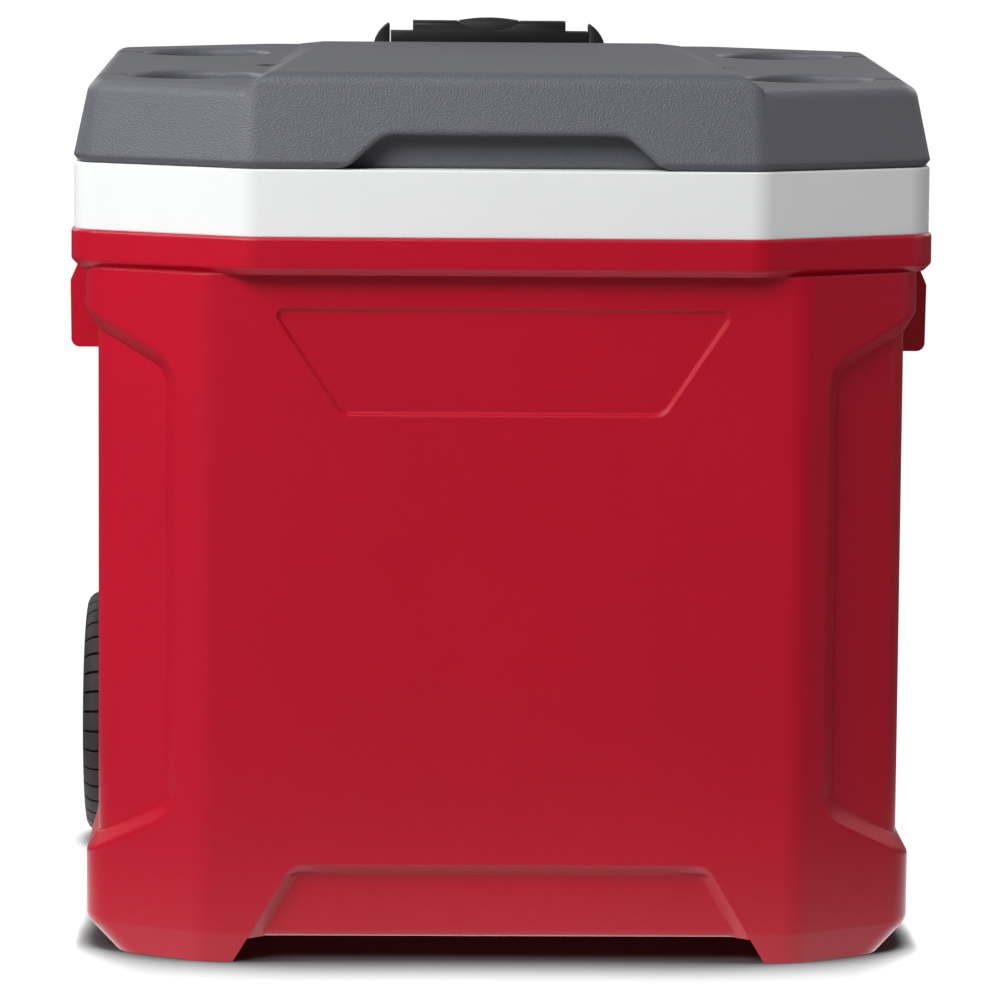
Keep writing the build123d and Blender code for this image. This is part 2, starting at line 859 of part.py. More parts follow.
# Lid hinges, one on each side of the tow handle
for side, sign in (("left", -1), ("right", 1)):
    centre_x = sign * hinge_x
    with BuildPart() as hinge_bracket:
        with Locations((centre_x, rim_back, bracket_low)):
            Box(2 * bracket_half, bracket_thick, bracket_plate_height,
                align=(Align.CENTER, Align.MIN, Align.MIN))
        arm_low = bracket_low + bracket_plate_height
        for offset in (-1, 1):
            arm_x = centre_x + offset * (bracket_half - arm_width / 2)
            with Locations((arm_x, rim_back, arm_low)):
                Box(arm_width, bracket_thick, hinge_z - arm_low, align=(Align.CENTER, Align.MIN, Align.MIN))
            with Locations(Plane(origin=(arm_x, hinge_y, hinge_z), z_dir=(1, 0, 0))):
                Cylinder(knuckle_radius, arm_width)
        upright = hinge_bracket.edges().filter_by(Axis.Y).filter_by_position(
            Axis.Z, bracket_low - near, bracket_low + near)
        fillet(upright, bracket_thick)
        with Locations(Plane(origin=(centre_x, hinge_y, hinge_z), z_dir=(1, 0, 0))):
            Cylinder(hinge_pin_radius + press_gap, 2 * (bracket_half + cut_over), mode=Mode.SUBTRACT)
        add(screw_holes(bracket_screw_planes, screw_length), mode=Mode.SUBTRACT)
    hinge_bracket.part.label = f"hinge_bracket_{side}"
    export_step(hinge_bracket.part, f"parts/hinge_bracket_{side}.step")

    with BuildPart() as hinge_pin:
        with Locations(Plane(origin=(centre_x, hinge_y, hinge_z), z_dir=(1, 0, 0))):
            Cylinder(hinge_pin_radius, 2 * bracket_half)
    hinge_pin.part.label = f"hinge_pin_{side}"
    export_step(hinge_pin.part, f"parts/hinge_pin_{side}.step")

    with BuildPart() as lid_leaf:
        with BuildSketch(Plane.YZ.offset(centre_x - leaf_width / 2)):
            with BuildLine():
                Polyline(
                    (lid_back_y(leaf_low), leaf_low),
                    (lid_back_y(hinge_z), hinge_z),
                    (hinge_y, hinge_z + knuckle_radius),
                    (hinge_y, hinge_z - knuckle_radius),
                    (lid_back_y(hinge_z - knuckle_radius) + leaf_thick, hinge_z - knuckle_radius),
                    (lid_back_y(leaf_low) + leaf_thick, leaf_low),
                    close=True,
                )
            make_face()
        extrude(amount=leaf_width)
        with Locations(Plane(origin=(centre_x, hinge_y, hinge_z), z_dir=(1, 0, 0))):
            Cylinder(knuckle_radius, leaf_width)
            Cylinder(hinge_pin_radius + hinge_pin_fit, leaf_width + 2 * cut_over, mode=Mode.SUBTRACT)
        add(screw_holes(leaf_screw_planes, leaf_screw_length), mode=Mode.SUBTRACT)
    lid_leaf.part.label = f"lid_leaf_{side}"
    export_step(lid_leaf.part, f"parts/lid_leaf_{side}.step")

# Hinge screws into the rim and into the lid
with BuildPart() as bracket_screws:
    add(screw_group(bracket_screw_planes, screw_length))
bracket_screws.part.label = "bracket_screws"
export_step(bracket_screws.part, "parts/bracket_screws.step")

with BuildPart() as leaf_screws:
    add(screw_group(leaf_screw_planes, leaf_screw_length))
leaf_screws.part.label = "leaf_screws"
export_step(leaf_screws.part, "parts/leaf_screws.step")

# Wheels on stub axles, one in each rear well
wheel_in = well_face + wheel_face_gap
wheel_out = wheel_in + wheel_width
tyre_in_radius = wheel_radius - tyre_depth
boss_end = well_face + axle_plate_thick + axle_boss_length
bush_in = boss_end + bush_end_gap
hub_out = wheel_out - hub_inset
bush_out = hub_out - cap_space
clip_in = bush_out + bush_end_gap
axle_end = clip_in + clip_thick + axle_groove + bush_end_gap


def ring(start, end, inner, outer, sign):
    """Ring about a wheel's axle between two distances from the middle of the cooler."""
    with BuildPart() as hoop:
        with BuildSketch(Plane.YZ.offset(sign * start)):
            with Locations((axle_y, axle_z)):
                Circle(outer)
                if inner > 0:
                    Circle(inner, mode=Mode.SUBTRACT)
        extrude(amount=sign * (end - start))
    return hoop.part


hub_bore = axle_radius + bush_wall + press_gap
hub_boss_radius = hub_bore + hub_boss_wall
rim_inner = tyre_in_radius - hub_rim_wall
web_in = (wheel_in + wheel_out) / 2 - hub_web / 2
web_out = web_in + hub_web


def hub_windows(sign):
    """Openings between the spokes of a wheel hub."""
    outer = rim_inner - window_margin
    inner = cap_radius + window_margin
    spread = pi / spoke_count * window_share
    with BuildPart() as windows:
        for index in range(spoke_count):
            middle = 2 * pi * index / spoke_count
            near_out, far_out, near_in, far_in, mid_out, mid_in = [
                (axle_y + radius * cos(angle), axle_z + radius * sin(angle))
                for radius, angle in (
                    (outer, middle - spread), (outer, middle + spread),
                    (inner, middle - spread), (inner, middle + spread),
                    (outer, middle), (inner, middle),
                )
            ]
            with BuildSketch(Plane.YZ.offset(sign * web_in)) as opening:
                with BuildLine():
                    ThreePointArc(near_out, mid_out, far_out)
                    Line(far_out, far_in)
                    ThreePointArc(far_in, mid_in, near_in)
                    Line(near_in, near_out)
                make_face()
                fillet(opening.vertices(), window_round)
            extrude(amount=sign * hub_web)
    return windows.part


for side, sign in (("left", -1), ("right", 1)):
    with BuildPart() as axle_plate:
        with BuildSketch(Plane.YZ.offset(sign * well_face)):
            with Locations((axle_y, axle_z)):
                RectangleRounded(axle_plate_size, axle_plate_size, plate_screw_margin)
        extrude(amount=sign * axle_plate_thick)
        add(ring(well_face, boss_end, 0, axle_boss_radius, sign))
        add(ring(well_face, boss_end, 0, axle_radius + press_gap, sign), mode=Mode.SUBTRACT)
        add(screw_holes(plate_screw_planes, plate_screw_length), mode=Mode.SUBTRACT)
    axle_plate.part.label = f"axle_plate_{side}"
    export_step(axle_plate.part, f"parts/axle_plate_{side}.step")

    with BuildPart() as axle:
        add(ring(well_face, axle_end, 0, axle_radius, sign))
        add(ring(clip_in, clip_in + clip_thick + press_gap, axle_radius - axle_groove, 2 * axle_radius, sign),
            mode=Mode.SUBTRACT)
        chamfer(axle.faces().sort_by(Axis.X)[0 if sign < 0 else -1].edges(), axle_groove)
    axle.part.label = f"axle_{side}"
    export_step(axle.part, f"parts/axle_{side}.step")

    with BuildPart() as axle_clip:
        add(ring(clip_in, clip_in + clip_thick, axle_radius - axle_groove + press_gap, clip_radius, sign))
    axle_clip.part.label = f"axle_clip_{side}"
    export_step(axle_clip.part, f"parts/axle_clip_{side}.step")

    with BuildPart() as wheel_bush:
        add(ring(bush_in, bush_out, axle_radius + bush_fit, axle_radius + bush_wall, sign))
    wheel_bush.part.label = f"wheel_bush_{side}"
    export_step(wheel_bush.part, f"parts/wheel_bush_{side}.step")

    with BuildPart() as wheel_hub:
        add(ring(wheel_in + hub_inset, hub_out, rim_inner, tyre_in_radius, sign))
        add(ring(web_in, web_out, hub_bore, rim_inner, sign))
        add(ring(bush_in, bush_out, hub_bore, hub_boss_radius, sign))
        add(hub_windows(sign), mode=Mode.SUBTRACT)
    wheel_hub.part.label = f"wheel_hub_{side}"
    export_step(wheel_hub.part, f"parts/wheel_hub_{side}.step")

    with BuildPart() as hub_cap:
        add(ring(web_out, hub_out, cap_radius - cap_wall, cap_radius, sign))
        add(ring(hub_out - cap_wall, hub_out, 0, cap_radius, sign))
        fillet(hub_cap.faces().sort_by(Axis.X)[0 if sign < 0 else -1].edges(), cap_round)
    hub_cap.part.label = f"hub_cap_{side}"
    export_step(hub_cap.part, f"parts/hub_cap_{side}.step")

    with BuildPart() as tyre:
        add(ring(wheel_in, wheel_out, tyre_in_radius + press_gap, wheel_radius, sign))
        shoulders = tyre.edges().filter_by(GeomType.CIRCLE).group_by(SortBy.RADIUS)[-1]
        fillet(shoulders, tread_round)
        with Locations(Plane(origin=(0, axle_y, axle_z), z_dir=(1, 0, 0))):
            with PolarLocations(wheel_radius, tread_count):
                with Locations((0, 0, sign * (wheel_in + wheel_out) / 2)):
                    Box(2 * tread_depth, tread_width, wheel_width + 2 * cut_over, mode=Mode.SUBTRACT)
    tyre.part.label = f"tyre_{side}"
    export_step(tyre.part, f"parts/tyre_{side}.step")

with BuildPart() as axle_plate_screws:
    add(screw_group(plate_screw_planes, plate_screw_length))
axle_plate_screws.part.label = "axle_plate_screws"
export_step(axle_plate_screws.part, "parts/axle_plate_screws.step")

# Tow handle housing on the back of the body
neck_low = rim_top + neck_rise
neck_high = neck_low + (tower_front - rim_back) * neck_slope
block_low = housing_top - block_height
with BuildPart() as handle_housing:
    with BuildSketch(Plane.YZ.offset(-housing_half)) as profile:
        with BuildLine():
            Polyline(
                (body_back, housing_low),
                (back - housing_round, housing_low),
                (back, housing_low + 2 * housing_round),
                (back, housing_top),
                (tower_front, housing_top),
                (tower_front, neck_high),
                (rim_back, neck_low),
                (rim_back, body_top - neck_gap),
                (body_back, body_top - neck_gap - front_inset),
                close=True,
            )
        make_face()
    extrude(amount=2 * housing_half)
    long_edges = handle_housing.edges().filter_by(Axis.Z).filter_by_position(Axis.Y, back - near, back + near)
    fillet(long_edges, housing_round)
    # Hollow towards the body, with a flange left at the edge for the screws
    hollow_half = housing_half - housing_wall - housing_flange
    hollow_low = housing_low + bottom_block
    with BuildSketch(Plane.YZ.offset(-hollow_half)):
        with BuildLine():
            Polyline(
                (body_back - wall, hollow_low),
                (back - housing_wall, hollow_low),
                (back - housing_wall, block_low),
                (tower_front + housing_wall, block_low),
                (rim_back + housing_wall, neck_low - housing_wall),
                (rim_back + housing_wall, body_top - neck_gap),
                (body_back - wall, body_top - neck_gap - front_inset - 2 * housing_wall),
                close=True,
            )
        make_face()
    extrude(amount=2 * hollow_half, mode=Mode.SUBTRACT)
    # Shallow flutes down the back
    flute_places = [
        ((index - (flute_count - 1) / 2) * flute_pitch, (housing_low + housing_top) / 2)
        for index in range(flute_count)
    ]
    with BuildSketch(Plane.XZ.offset(-back)):
        with Locations(*flute_places):
            SlotOverall(housing_top - housing_low - 2 * flute_margin, flute_width, rotation=90)
    extrude(amount=flute_depth, mode=Mode.SUBTRACT)
    # Cheeks on both sides of the grip
    for sign in (-1, 1):
        inner = sign * (housing_half - cheek_width)
        outer = sign * housing_half
        tip = sign * (housing_half - cheek_width + cheek_tip)
        top = housing_top + cheek_height
        with BuildSketch(Plane.XZ.offset(-(tower_front + cheek_margin))):
            with BuildLine():
                Line((inner, housing_top - housing_wall), (inner, top - cheek_tip))
                Line((inner, top - cheek_tip), (tip, top))
                ThreePointArc((tip, top), (outer - sign * cheek_bow, top - cheek_bow_drop),
                              (outer, top - cheek_shoulder))
                Line((outer, top - cheek_shoulder), (outer, housing_top - housing_wall))
                Line((outer, housing_top - housing_wall), (inner, housing_top - housing_wall))
            make_face()
        extrude(amount=-(tower_depth - 2 * cheek_margin))
    # Seats of the fixed tubes
    with Locations((-tube_x, tube_y, tube_low), (tube_x, tube_y, tube_low)):
        Cylinder(outer_tube_radius + press_gap, housing_top, align=(Align.CENTER, Align.CENTER, Align.MIN),
                 mode=Mode.SUBTRACT)
    add(screw_holes(housing_screw_planes, screw_length), mode=Mode.SUBTRACT)
    with Locations(*housing_screw_planes):
        Cylinder(screw_head_radius + screw_fit, beyond, align=(Align.CENTER, Align.CENTER, Align.MIN),
                 mode=Mode.SUBTRACT)
handle_housing.part.label = "handle_housing"
export_step(handle_housing.part, "parts/handle_housing.step")

with BuildPart() as housing_screws:
    add(screw_group(housing_screw_planes, screw_length))
housing_screws.part.label = "housing_screws"
export_step(housing_screws.part, "parts/housing_screws.step")

# Telescoping tubes: fixed outer, middle stage, inner stage with the grip
middle_tube_radius = outer_tube_radius - tube_wall - tube_gap
inner_tube_radius = middle_tube_radius - tube_wall - tube_gap
middle_low = tube_low + stage_step
inner_low = middle_low + stage_step
collar_low = housing_top
collar_high = collar_low + collar_ring_height
stage_low = collar_high + stage_gap
stage_high = stage_low + collar_ring_height
inner_top = grip_low + grip_seat

for side, sign in (("left", -1), ("right", 1)):
    for stage, radius, low, top in (
        ("outer", outer_tube_radius, tube_low, collar_low),
        ("middle", middle_tube_radius, middle_low, stage_low),
        ("inner", inner_tube_radius, inner_low, inner_top),
    ):
        with BuildPart() as tube:
            with BuildSketch(Plane.XY.offset(low)):
                with Locations((sign * tube_x, tube_y)):
                    Circle(radius)
                    Circle(radius - tube_wall, mode=Mode.SUBTRACT)
            extrude(amount=top - low)
        tube.part.label = f"{stage}_tube_{side}"
        export_step(tube.part, f"parts/{stage}_tube_{side}.step")


def tube_pair(low, top, outer, inner):
    """The same ring or plug on both tubes of the handle."""
    with BuildPart() as pair:
        for sign in (-1, 1):
            with BuildSketch(Plane.XY.offset(low)):
                with Locations((sign * tube_x, tube_y)):
                    Circle(outer)
                    if inner > 0:
                        Circle(inner, mode=Mode.SUBTRACT)
            extrude(amount=top - low)
    return pair.part


def pin_holes(z):
    """Cross holes that hold the lock pins in the guide blocks."""
    with BuildPart() as holes:
        for sign in (-1, 1):
            with Locations(Plane(origin=(sign * tube_x, tube_y + lock_pin_start, z), z_dir=(0, 1, 0))):
                Cylinder(lock_pin_radius + press_gap, beyond, align=(Align.CENTER, Align.CENTER, Align.MIN))
    return holes.part


def lock_pins(z, radius):
    """Spring pins drawn back inside the guide blocks."""
    with BuildPart() as pins:
        for sign in (-1, 1):
            with Locations(Plane(origin=(sign * tube_x, tube_y + lock_pin_start, z), z_dir=(0, 1, 0))):
                Cylinder(lock_pin_radius, radius - lock_pin_start - stage_gap,
                         align=(Align.CENTER, Align.CENTER, Align.MIN))
    return pins.part


with BuildPart() as tube_collars:
    add(tube_pair(collar_low, collar_high, outer_tube_radius + collar_ring_wall,
                  middle_tube_radius + collar_fit))
tube_collars.part.label = "tube_collars"
export_step(tube_collars.part, "parts/tube_collars.step")

with BuildPart() as stage_collars:
    add(tube_pair(stage_low, stage_high, middle_tube_radius + collar_ring_wall,
                  inner_tube_radius + collar_fit))
stage_collars.part.label = "stage_collars"
export_step(stage_collars.part, "parts/stage_collars.step")

middle_guide_radius = outer_tube_radius - tube_wall - guide_fit
inner_guide_radius = middle_tube_radius - tube_wall - guide_fit
middle_pin_z = middle_low - middle_pin_drop
inner_pin_z = inner_low - inner_pin_drop
rod_low = inner_pin_z + lock_pin_radius + button_travel + 3 * stage_gap

with BuildPart() as middle_guides:
    add(tube_pair(middle_low - guide_height, middle_low, middle_guide_radius, 0))
    add(pin_holes(middle_pin_z), mode=Mode.SUBTRACT)
middle_guides.part.label = "middle_guides"
export_step(middle_guides.part, "parts/middle_guides.step")

with BuildPart() as middle_lock_pins:
    add(lock_pins(middle_pin_z, middle_guide_radius))
middle_lock_pins.part.label = "middle_lock_pins"
export_step(middle_lock_pins.part, "parts/middle_lock_pins.step")

with BuildPart() as inner_guides:
    add(tube_pair(inner_low - guide_height, inner_low, inner_guide_radius, 0))
    add(pin_holes(inner_pin_z), mode=Mode.SUBTRACT)
    add(tube_pair(rod_low - button_travel - stage_gap, inner_low, rod_radius + rod_gap, 0),
        mode=Mode.SUBTRACT)
inner_guides.part.label = "inner_guides"
export_step(inner_guides.part, "parts/inner_guides.step")

with BuildPart() as inner_lock_pins:
    add(lock_pins(inner_pin_z, inner_guide_radius))
inner_lock_pins.part.label = "inner_lock_pins"
export_step(inner_lock_pins.part, "parts/inner_lock_pins.step")

# Grip in two halves, with the release button in its top
grip_front = tube_y - grip_depth / 2
yoke_low = inner_top + grip_floor + button_travel + stage_gap
yoke_high = yoke_low + yoke_height
cavity_low = yoke_low - button_travel - stage_gap
cavity_high = yoke_high + stage_gap
cavity_half = tube_x + rod_radius + grip_wall
cavity_depth = yoke_depth + 2 * grip_wall
button_depth = grip_depth - 2 * (grip_wall + button_fit)


def grip_blank():
    """Outer form of the whole grip."""
    with BuildPart() as blank:
        with BuildSketch(Plane.XZ.offset(-grip_front)):
            with BuildLine():
                Polyline(
                    (-grip_half, grip_low),
                    (-grip_half, grip_shoulder),
                    (-grip_deck_half, grip_shoulder),
                    (-grip_deck_half, grip_top),
                    (grip_deck_half, grip_top),
                    (grip_deck_half, grip_shoulder),
                    (grip_half, grip_shoulder),
                    (grip_half, grip_low),
                    close=True,
                )
            make_face()
        extrude(amount=-grip_depth)
        long_edges = blank.edges().filter_by(Axis.X)
        fillet(long_edges.group_by(Axis.Z)[0], grip_low_round)
        fillet(blank.edges().filter_by(Axis.X).group_by(Axis.Z)[-1], grip_round)
        with Locations((0, tube_y, cavity_low)):
            Box(2 * cavity_half, cavity_depth, cavity_high - cavity_low,
                align=(Align.CENTER, Align.CENTER, Align.MIN), mode=Mode.SUBTRACT)
            Box(2 * (button_half + button_fit), button_depth + 2 * button_fit, beyond,
                align=(Align.CENTER, Align.CENTER, Align.MIN), mode=Mode.SUBTRACT)
        with Locations((-tube_x, tube_y, grip_low), (tube_x, tube_y, grip_low)):
            Cylinder(inner_tube_radius + press_gap, 2 * grip_seat, mode=Mode.SUBTRACT)
            Cylinder(rod_radius + rod_gap, 2 * (cavity_low - grip_low + cut_over), mode=Mode.SUBTRACT)
    return blank.part


def button_windows():
    """Lens-shaped cut-outs in the front and the back of the cover that show the button."""
    edge_low = grip_top - button_edge
    edge_top = grip_top + cut_over
    with BuildPart() as windows:
        with BuildSketch(Plane.XZ.offset(cut_over - grip_front)):
            with BuildLine():
                ThreePointArc((-button_half, edge_low), (0, grip_top - button_skirt), (button_half, edge_low))
                Polyline(
                    (button_half, edge_low),
                    (button_half, edge_top),
                    (-button_half, edge_top),
                    (-button_half, edge_low),
                )
            make_face()
        extrude(amount=-(grip_depth + 2 * cut_over))
    return windows.part


grip_screw_places = [(-grip_screw_x, tube_y), (grip_screw_x, tube_y)]
with BuildPart() as grip_base:
    add(grip_blank())
    split(bisect_by=Plane.XY.offset(grip_split), keep=Keep.BOTTOM)
    with Locations(*[(x, y, grip_low) for x, y in grip_screw_places]):
        Cylinder(grip_screw_radius + screw_fit, 4 * grip_seat, mode=Mode.SUBTRACT)
        Cylinder(grip_screw_head + screw_fit, 2 * screw_head_height, mode=Mode.SUBTRACT)
grip_base.part.label = "grip_base"
export_step(grip_base.part, "parts/grip_base.step")

with BuildPart() as grip_cover:
    add(grip_blank())
    split(bisect_by=Plane.XY.offset(grip_split), keep=Keep.TOP)
    add(button_windows(), mode=Mode.SUBTRACT)
    with Locations(*[(x, y, grip_split) for x, y in grip_screw_places]):
        Cylinder(grip_screw_radius + press_gap, 2 * grip_screw_bite, mode=Mode.SUBTRACT)
grip_cover.part.label = "grip_cover"
export_step(grip_cover.part, "parts/grip_cover.step")

with BuildPart() as grip_screws:
    for x, y in grip_screw_places:
        with Locations((x, y, grip_low)):
            Cylinder(grip_screw_head, screw_head_height, align=(Align.CENTER, Align.CENTER, Align.MIN))
            Cylinder(grip_screw_radius, grip_split + grip_screw_bite - stage_gap - grip_low,
                     align=(Align.CENTER, Align.CENTER, Align.MIN))
grip_screws.part.label = "grip_screws"
export_step(grip_screws.part, "parts/grip_screws.step")

with BuildPart() as release_button:
    with BuildSketch(Plane.XZ.offset(button_depth / 2 - tube_y)):
        with BuildLine():
            ThreePointArc((-button_half, grip_top), (0, grip_top + button_crown), (button_half, grip_top))
            Polyline(
                (button_half, grip_top),
                (button_half, yoke_high),
                (-button_half, yoke_high),
                (-button_half, grip_top),
            )
        make_face()
    extrude(amount=-button_depth)
release_button.part.label = "release_button"
export_step(release_button.part, "parts/release_button.step")

with BuildPart() as release_rods:
    with Locations((0, tube_y, yoke_low)):
        Box(2 * (tube_x + rod_radius), yoke_depth, yoke_height, align=(Align.CENTER, Align.CENTER, Align.MIN))
    add(tube_pair(rod_low, yoke_low, rod_radius, 0))
release_rods.part.label = "release_rods"
export_step(release_rods.part, "parts/release_rods.step")

with BuildPart() as button_spring:
    with BuildSketch(Plane.XY.offset(cavity_low)):
        with Locations((0, tube_y)):
            Circle(spring_radius)
            Circle(spring_radius - spring_wire, mode=Mode.SUBTRACT)
    extrude(amount=yoke_low - cavity_low)
button_spring.part.label = "button_spring"
export_step(button_spring.part, "parts/button_spring.step")

# Drain low in the back wall
liner_inside = liner_back - liner_wall
spout_end = body_back + gasket_thick + nut_thick + spout_proud


def drain_ring(start, end, outer, inner):
    """Ring about the drain's axis between two depths."""
    with BuildPart() as hoop:
        with Locations(Plane(origin=(drain_x, start, drain_z), z_dir=(0, 1, 0))):
            Cylinder(outer, end - start, align=(Align.CENTER, Align.CENTER, Align.MIN))
            if inner > 0:
                Cylinder(inner, end - start, align=(Align.CENTER, Align.CENTER, Align.MIN),
                         mode=Mode.SUBTRACT)
    return hoop.part


with BuildPart() as drain_spout:
    add(drain_ring(liner_inside - drain_flange_thick, liner_inside, drain_radius + drain_flange, drain_bore))
    add(drain_ring(liner_inside - drain_flange_thick, spout_end, drain_radius, drain_bore))
drain_spout.part.label = "drain_spout"
export_step(drain_spout.part, "parts/drain_spout.step")

with BuildPart() as drain_gasket:
    add(drain_ring(body_back, body_back + gasket_thick, drain_radius + drain_flange,
                   drain_radius + drain_fit))
drain_gasket.part.label = "drain_gasket"
export_step(drain_gasket.part, "parts/drain_gasket.step")

with BuildPart() as drain_nut:
    with BuildSketch(Plane.XZ.offset(-(body_back + gasket_thick))):
        with Locations((drain_x, drain_z)):
            RegularPolygon(nut_flats / 2, 6, major_radius=False)
            Circle(drain_radius + drain_fit, mode=Mode.SUBTRACT)
    extrude(amount=-nut_thick)
drain_nut.part.label = "drain_nut"
export_step(drain_nut.part, "parts/drain_nut.step")

with BuildPart() as drain_plug:
    add(drain_ring(spout_end + seal_thick, spout_end + seal_thick + plug_grip_thick, plug_grip_radius, 0))
    fillet(drain_plug.edges().filter_by(GeomType.CIRCLE), stopper_round)
    add(drain_ring(spout_end - plug_stem, spout_end + seal_thick, drain_bore - plug_fit, 0))
    with Locations(Plane(origin=(drain_x, spout_end + seal_thick, drain_z), z_dir=(0, 1, 0))):
        with PolarLocations(plug_grip_radius + plug_flute_out, plug_flute_count):
            Cylinder(plug_flute, plug_grip_thick, align=(Align.CENTER, Align.CENTER, Align.MIN),
                     mode=Mode.SUBTRACT)
drain_plug.part.label = "drain_plug"
export_step(drain_plug.part, "parts/drain_plug.step")

with BuildPart() as drain_seal:
    add(drain_ring(spout_end + plug_fit, spout_end + seal_thick, drain_radius,
                   drain_bore - plug_fit + press_gap))
drain_seal.part.label = "drain_seal"
export_step(drain_seal.part, "parts/drain_seal.step")
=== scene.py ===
import json
import math
import bpy
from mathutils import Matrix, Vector


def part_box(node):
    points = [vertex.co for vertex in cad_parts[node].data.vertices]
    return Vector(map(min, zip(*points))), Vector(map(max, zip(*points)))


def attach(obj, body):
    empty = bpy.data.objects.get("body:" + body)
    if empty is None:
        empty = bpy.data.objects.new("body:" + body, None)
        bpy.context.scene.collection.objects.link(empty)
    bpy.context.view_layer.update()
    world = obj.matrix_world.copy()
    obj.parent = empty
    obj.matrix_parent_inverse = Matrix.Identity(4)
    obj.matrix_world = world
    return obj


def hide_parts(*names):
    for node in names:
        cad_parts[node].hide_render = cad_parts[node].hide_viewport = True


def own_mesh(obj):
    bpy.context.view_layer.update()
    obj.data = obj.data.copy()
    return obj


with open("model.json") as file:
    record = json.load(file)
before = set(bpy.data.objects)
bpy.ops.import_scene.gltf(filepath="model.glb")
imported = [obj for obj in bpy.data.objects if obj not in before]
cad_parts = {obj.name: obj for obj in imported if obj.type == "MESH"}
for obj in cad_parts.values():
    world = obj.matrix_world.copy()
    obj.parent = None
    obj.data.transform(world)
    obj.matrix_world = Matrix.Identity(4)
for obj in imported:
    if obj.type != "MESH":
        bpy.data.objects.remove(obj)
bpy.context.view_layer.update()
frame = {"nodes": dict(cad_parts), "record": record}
nodes = frame["nodes"]
scene = bpy.context.scene
scene.view_settings.view_transform = "Standard"
print("frame loaded:", len(nodes), "nodes")

# metres, degrees and millimetres of lens, matched to the photo
photoView = {"place": (-0.07376, -3.36556, 0.65229), "turn": -1.324, "tilt": 7.026, "roll": 0.446,
             "lens": 201.65, "sensor": 36, "clipEnd": 50}
camData = bpy.data.cameras.new("photoCamera")
camData.lens = photoView["lens"]
camData.sensor_width = photoView["sensor"]
camData.clip_end = photoView["clipEnd"]
cam = bpy.data.objects.new("photoCamera", camData)
cam.location = photoView["place"]
cam.rotation_euler = (math.radians(90 - photoView["tilt"]), 0, math.radians(photoView["turn"]))
cam.rotation_euler.rotate_axis("Z", math.radians(photoView["roll"]))
scene.collection.objects.link(cam)
scene.camera = cam

lampAim = Vector((0, 0, 0.26))  # every box looks at the middle of the cooler
lampLook = {
    "keyLeft": {"place": (-1.45, -1.75, 2.2), "size": (2.4, 1.5), "power": 112},
    "sideRight": {"place": (2.4, -0.3, 1.2), "size": (1.0, 1.4), "power": 9},
    "backLeft": {"place": (-1.9, 2.2, 1.9), "size": (2.4, 1.7), "power": 30},
    "backRight": {"place": (1.9, 2.2, 1.9), "size": (2.4, 1.7), "power": 30},
}


def softbox(name, place, size, power):
    data = bpy.data.lights.new(name, "AREA")
    data.shape = "RECTANGLE"
    data.size, data.size_y = size
    data.energy = power
    lamp = bpy.data.objects.new(name, data)
    lamp.location = place
    lamp.rotation_euler = (lampAim - Vector(place)).to_track_quat("-Z", "Y").to_euler()
    scene.collection.objects.link(lamp)


for name, lamp in lampLook.items():
    softbox(name, lamp["place"], lamp["size"], lamp["power"])
print("camera and lamps set")


def nodeTree(name):
    mat = bpy.data.materials.new(name)
    mat.use_nodes = True
    tree = mat.node_tree
    return mat, tree, tree.nodes["Principled BSDF"]


def addNode(tree, kind, **values):
    node = tree.nodes.new(kind)
    for key, value in values.items():
        if key in node.inputs:
            node.inputs[key].default_value = value
        else:
            setattr(node, key, value)
    return node


def ramp(tree, source, band, tones):
    node = addNode(tree, "ShaderNodeValToRGB")
    for element, at, tone in zip(node.color_ramp.elements, band, tones):
        element.position = at
        element.color = (*tone, 1)
    tree.links.new(source, node.inputs["Fac"])
    return node.outputs["Color"]


def spread(tree, source, ends, **values):
    node = addNode(tree, "ShaderNodeMapRange", **values)
    for socket, value in zip(("From Min", "From Max", "To Min", "To Max"), ends):
        node.inputs[socket].default_value = value
    tree.links.new(source, node.inputs["Value"])
    return node.outputs["Result"]


def mathOf(tree, operation, *sources):
    node = addNode(tree, "ShaderNodeMath", operation=operation)
    for socket, source in zip(node.inputs, sources):
        if isinstance(source, (int, float)):
            socket.default_value = source
        else:
            tree.links.new(source, socket)
    return node.outputs["Value"]


def toLinear(rgb):  # the sRGB curve, undone
    shares = (value / 255 for value in rgb)
    return tuple(c / 12.92 if c <= 0.04045 else ((c + 0.055) / 1.055) ** 2.4 for c in shares)


def shade(rgb, share):
    return tuple(min(1, c * share) for c in rgb)


plasticLook = {
    "shellRed": {"rgb": (181, 4, 37), "grain": 1300, "rough": (0.28, 0.38), "bump": 0.42, "drift": 0.03,
                 "speck": 0.07, "sheen": 0.38, "edge": 0.0016},
    "linerWhite": {"rgb": (224, 226, 225), "grain": 1100, "rough": (0.4, 0.52), "bump": 0.1,
                   "drift": 0.015, "speck": 0.015, "sheen": 0.2, "edge": 0.0012},
    "lidGrey": {"rgb": (93, 94, 101), "grain": 1700, "rough": (0.33, 0.46), "cells": 1350, "pebble": 1.7,
                "bump": 0.6, "drift": 0.03, "speck": 0.14, "sheen": 0.42, "edge": 0.0036},
    "handleBlack": {"rgb": (30, 29, 31), "grain": 1500, "rough": (0.38, 0.52), "bump": 0.25, "drift": 0.05,
                    "speck": 0.08, "sheen": 0.25, "edge": 0.0006},
    "hubBlack": {"rgb": (40, 39, 41), "grain": 900, "rough": (0.35, 0.5), "bump": 0.15, "drift": 0.06,
                 "speck": 0.05, "sheen": 0.3, "edge": 0.0006},
    "nylon": {"rgb": (222, 219, 208), "grain": 700, "rough": (0.4, 0.5), "bump": 0.1, "drift": 0.03,
              "speck": 0.03, "sheen": 0.4, "edge": 0.0005},
}
mouldLook = {"driftBand": (0.3, 0.7), "speckBand": (0.35, 0.65), "grainDeep": 0.0003}


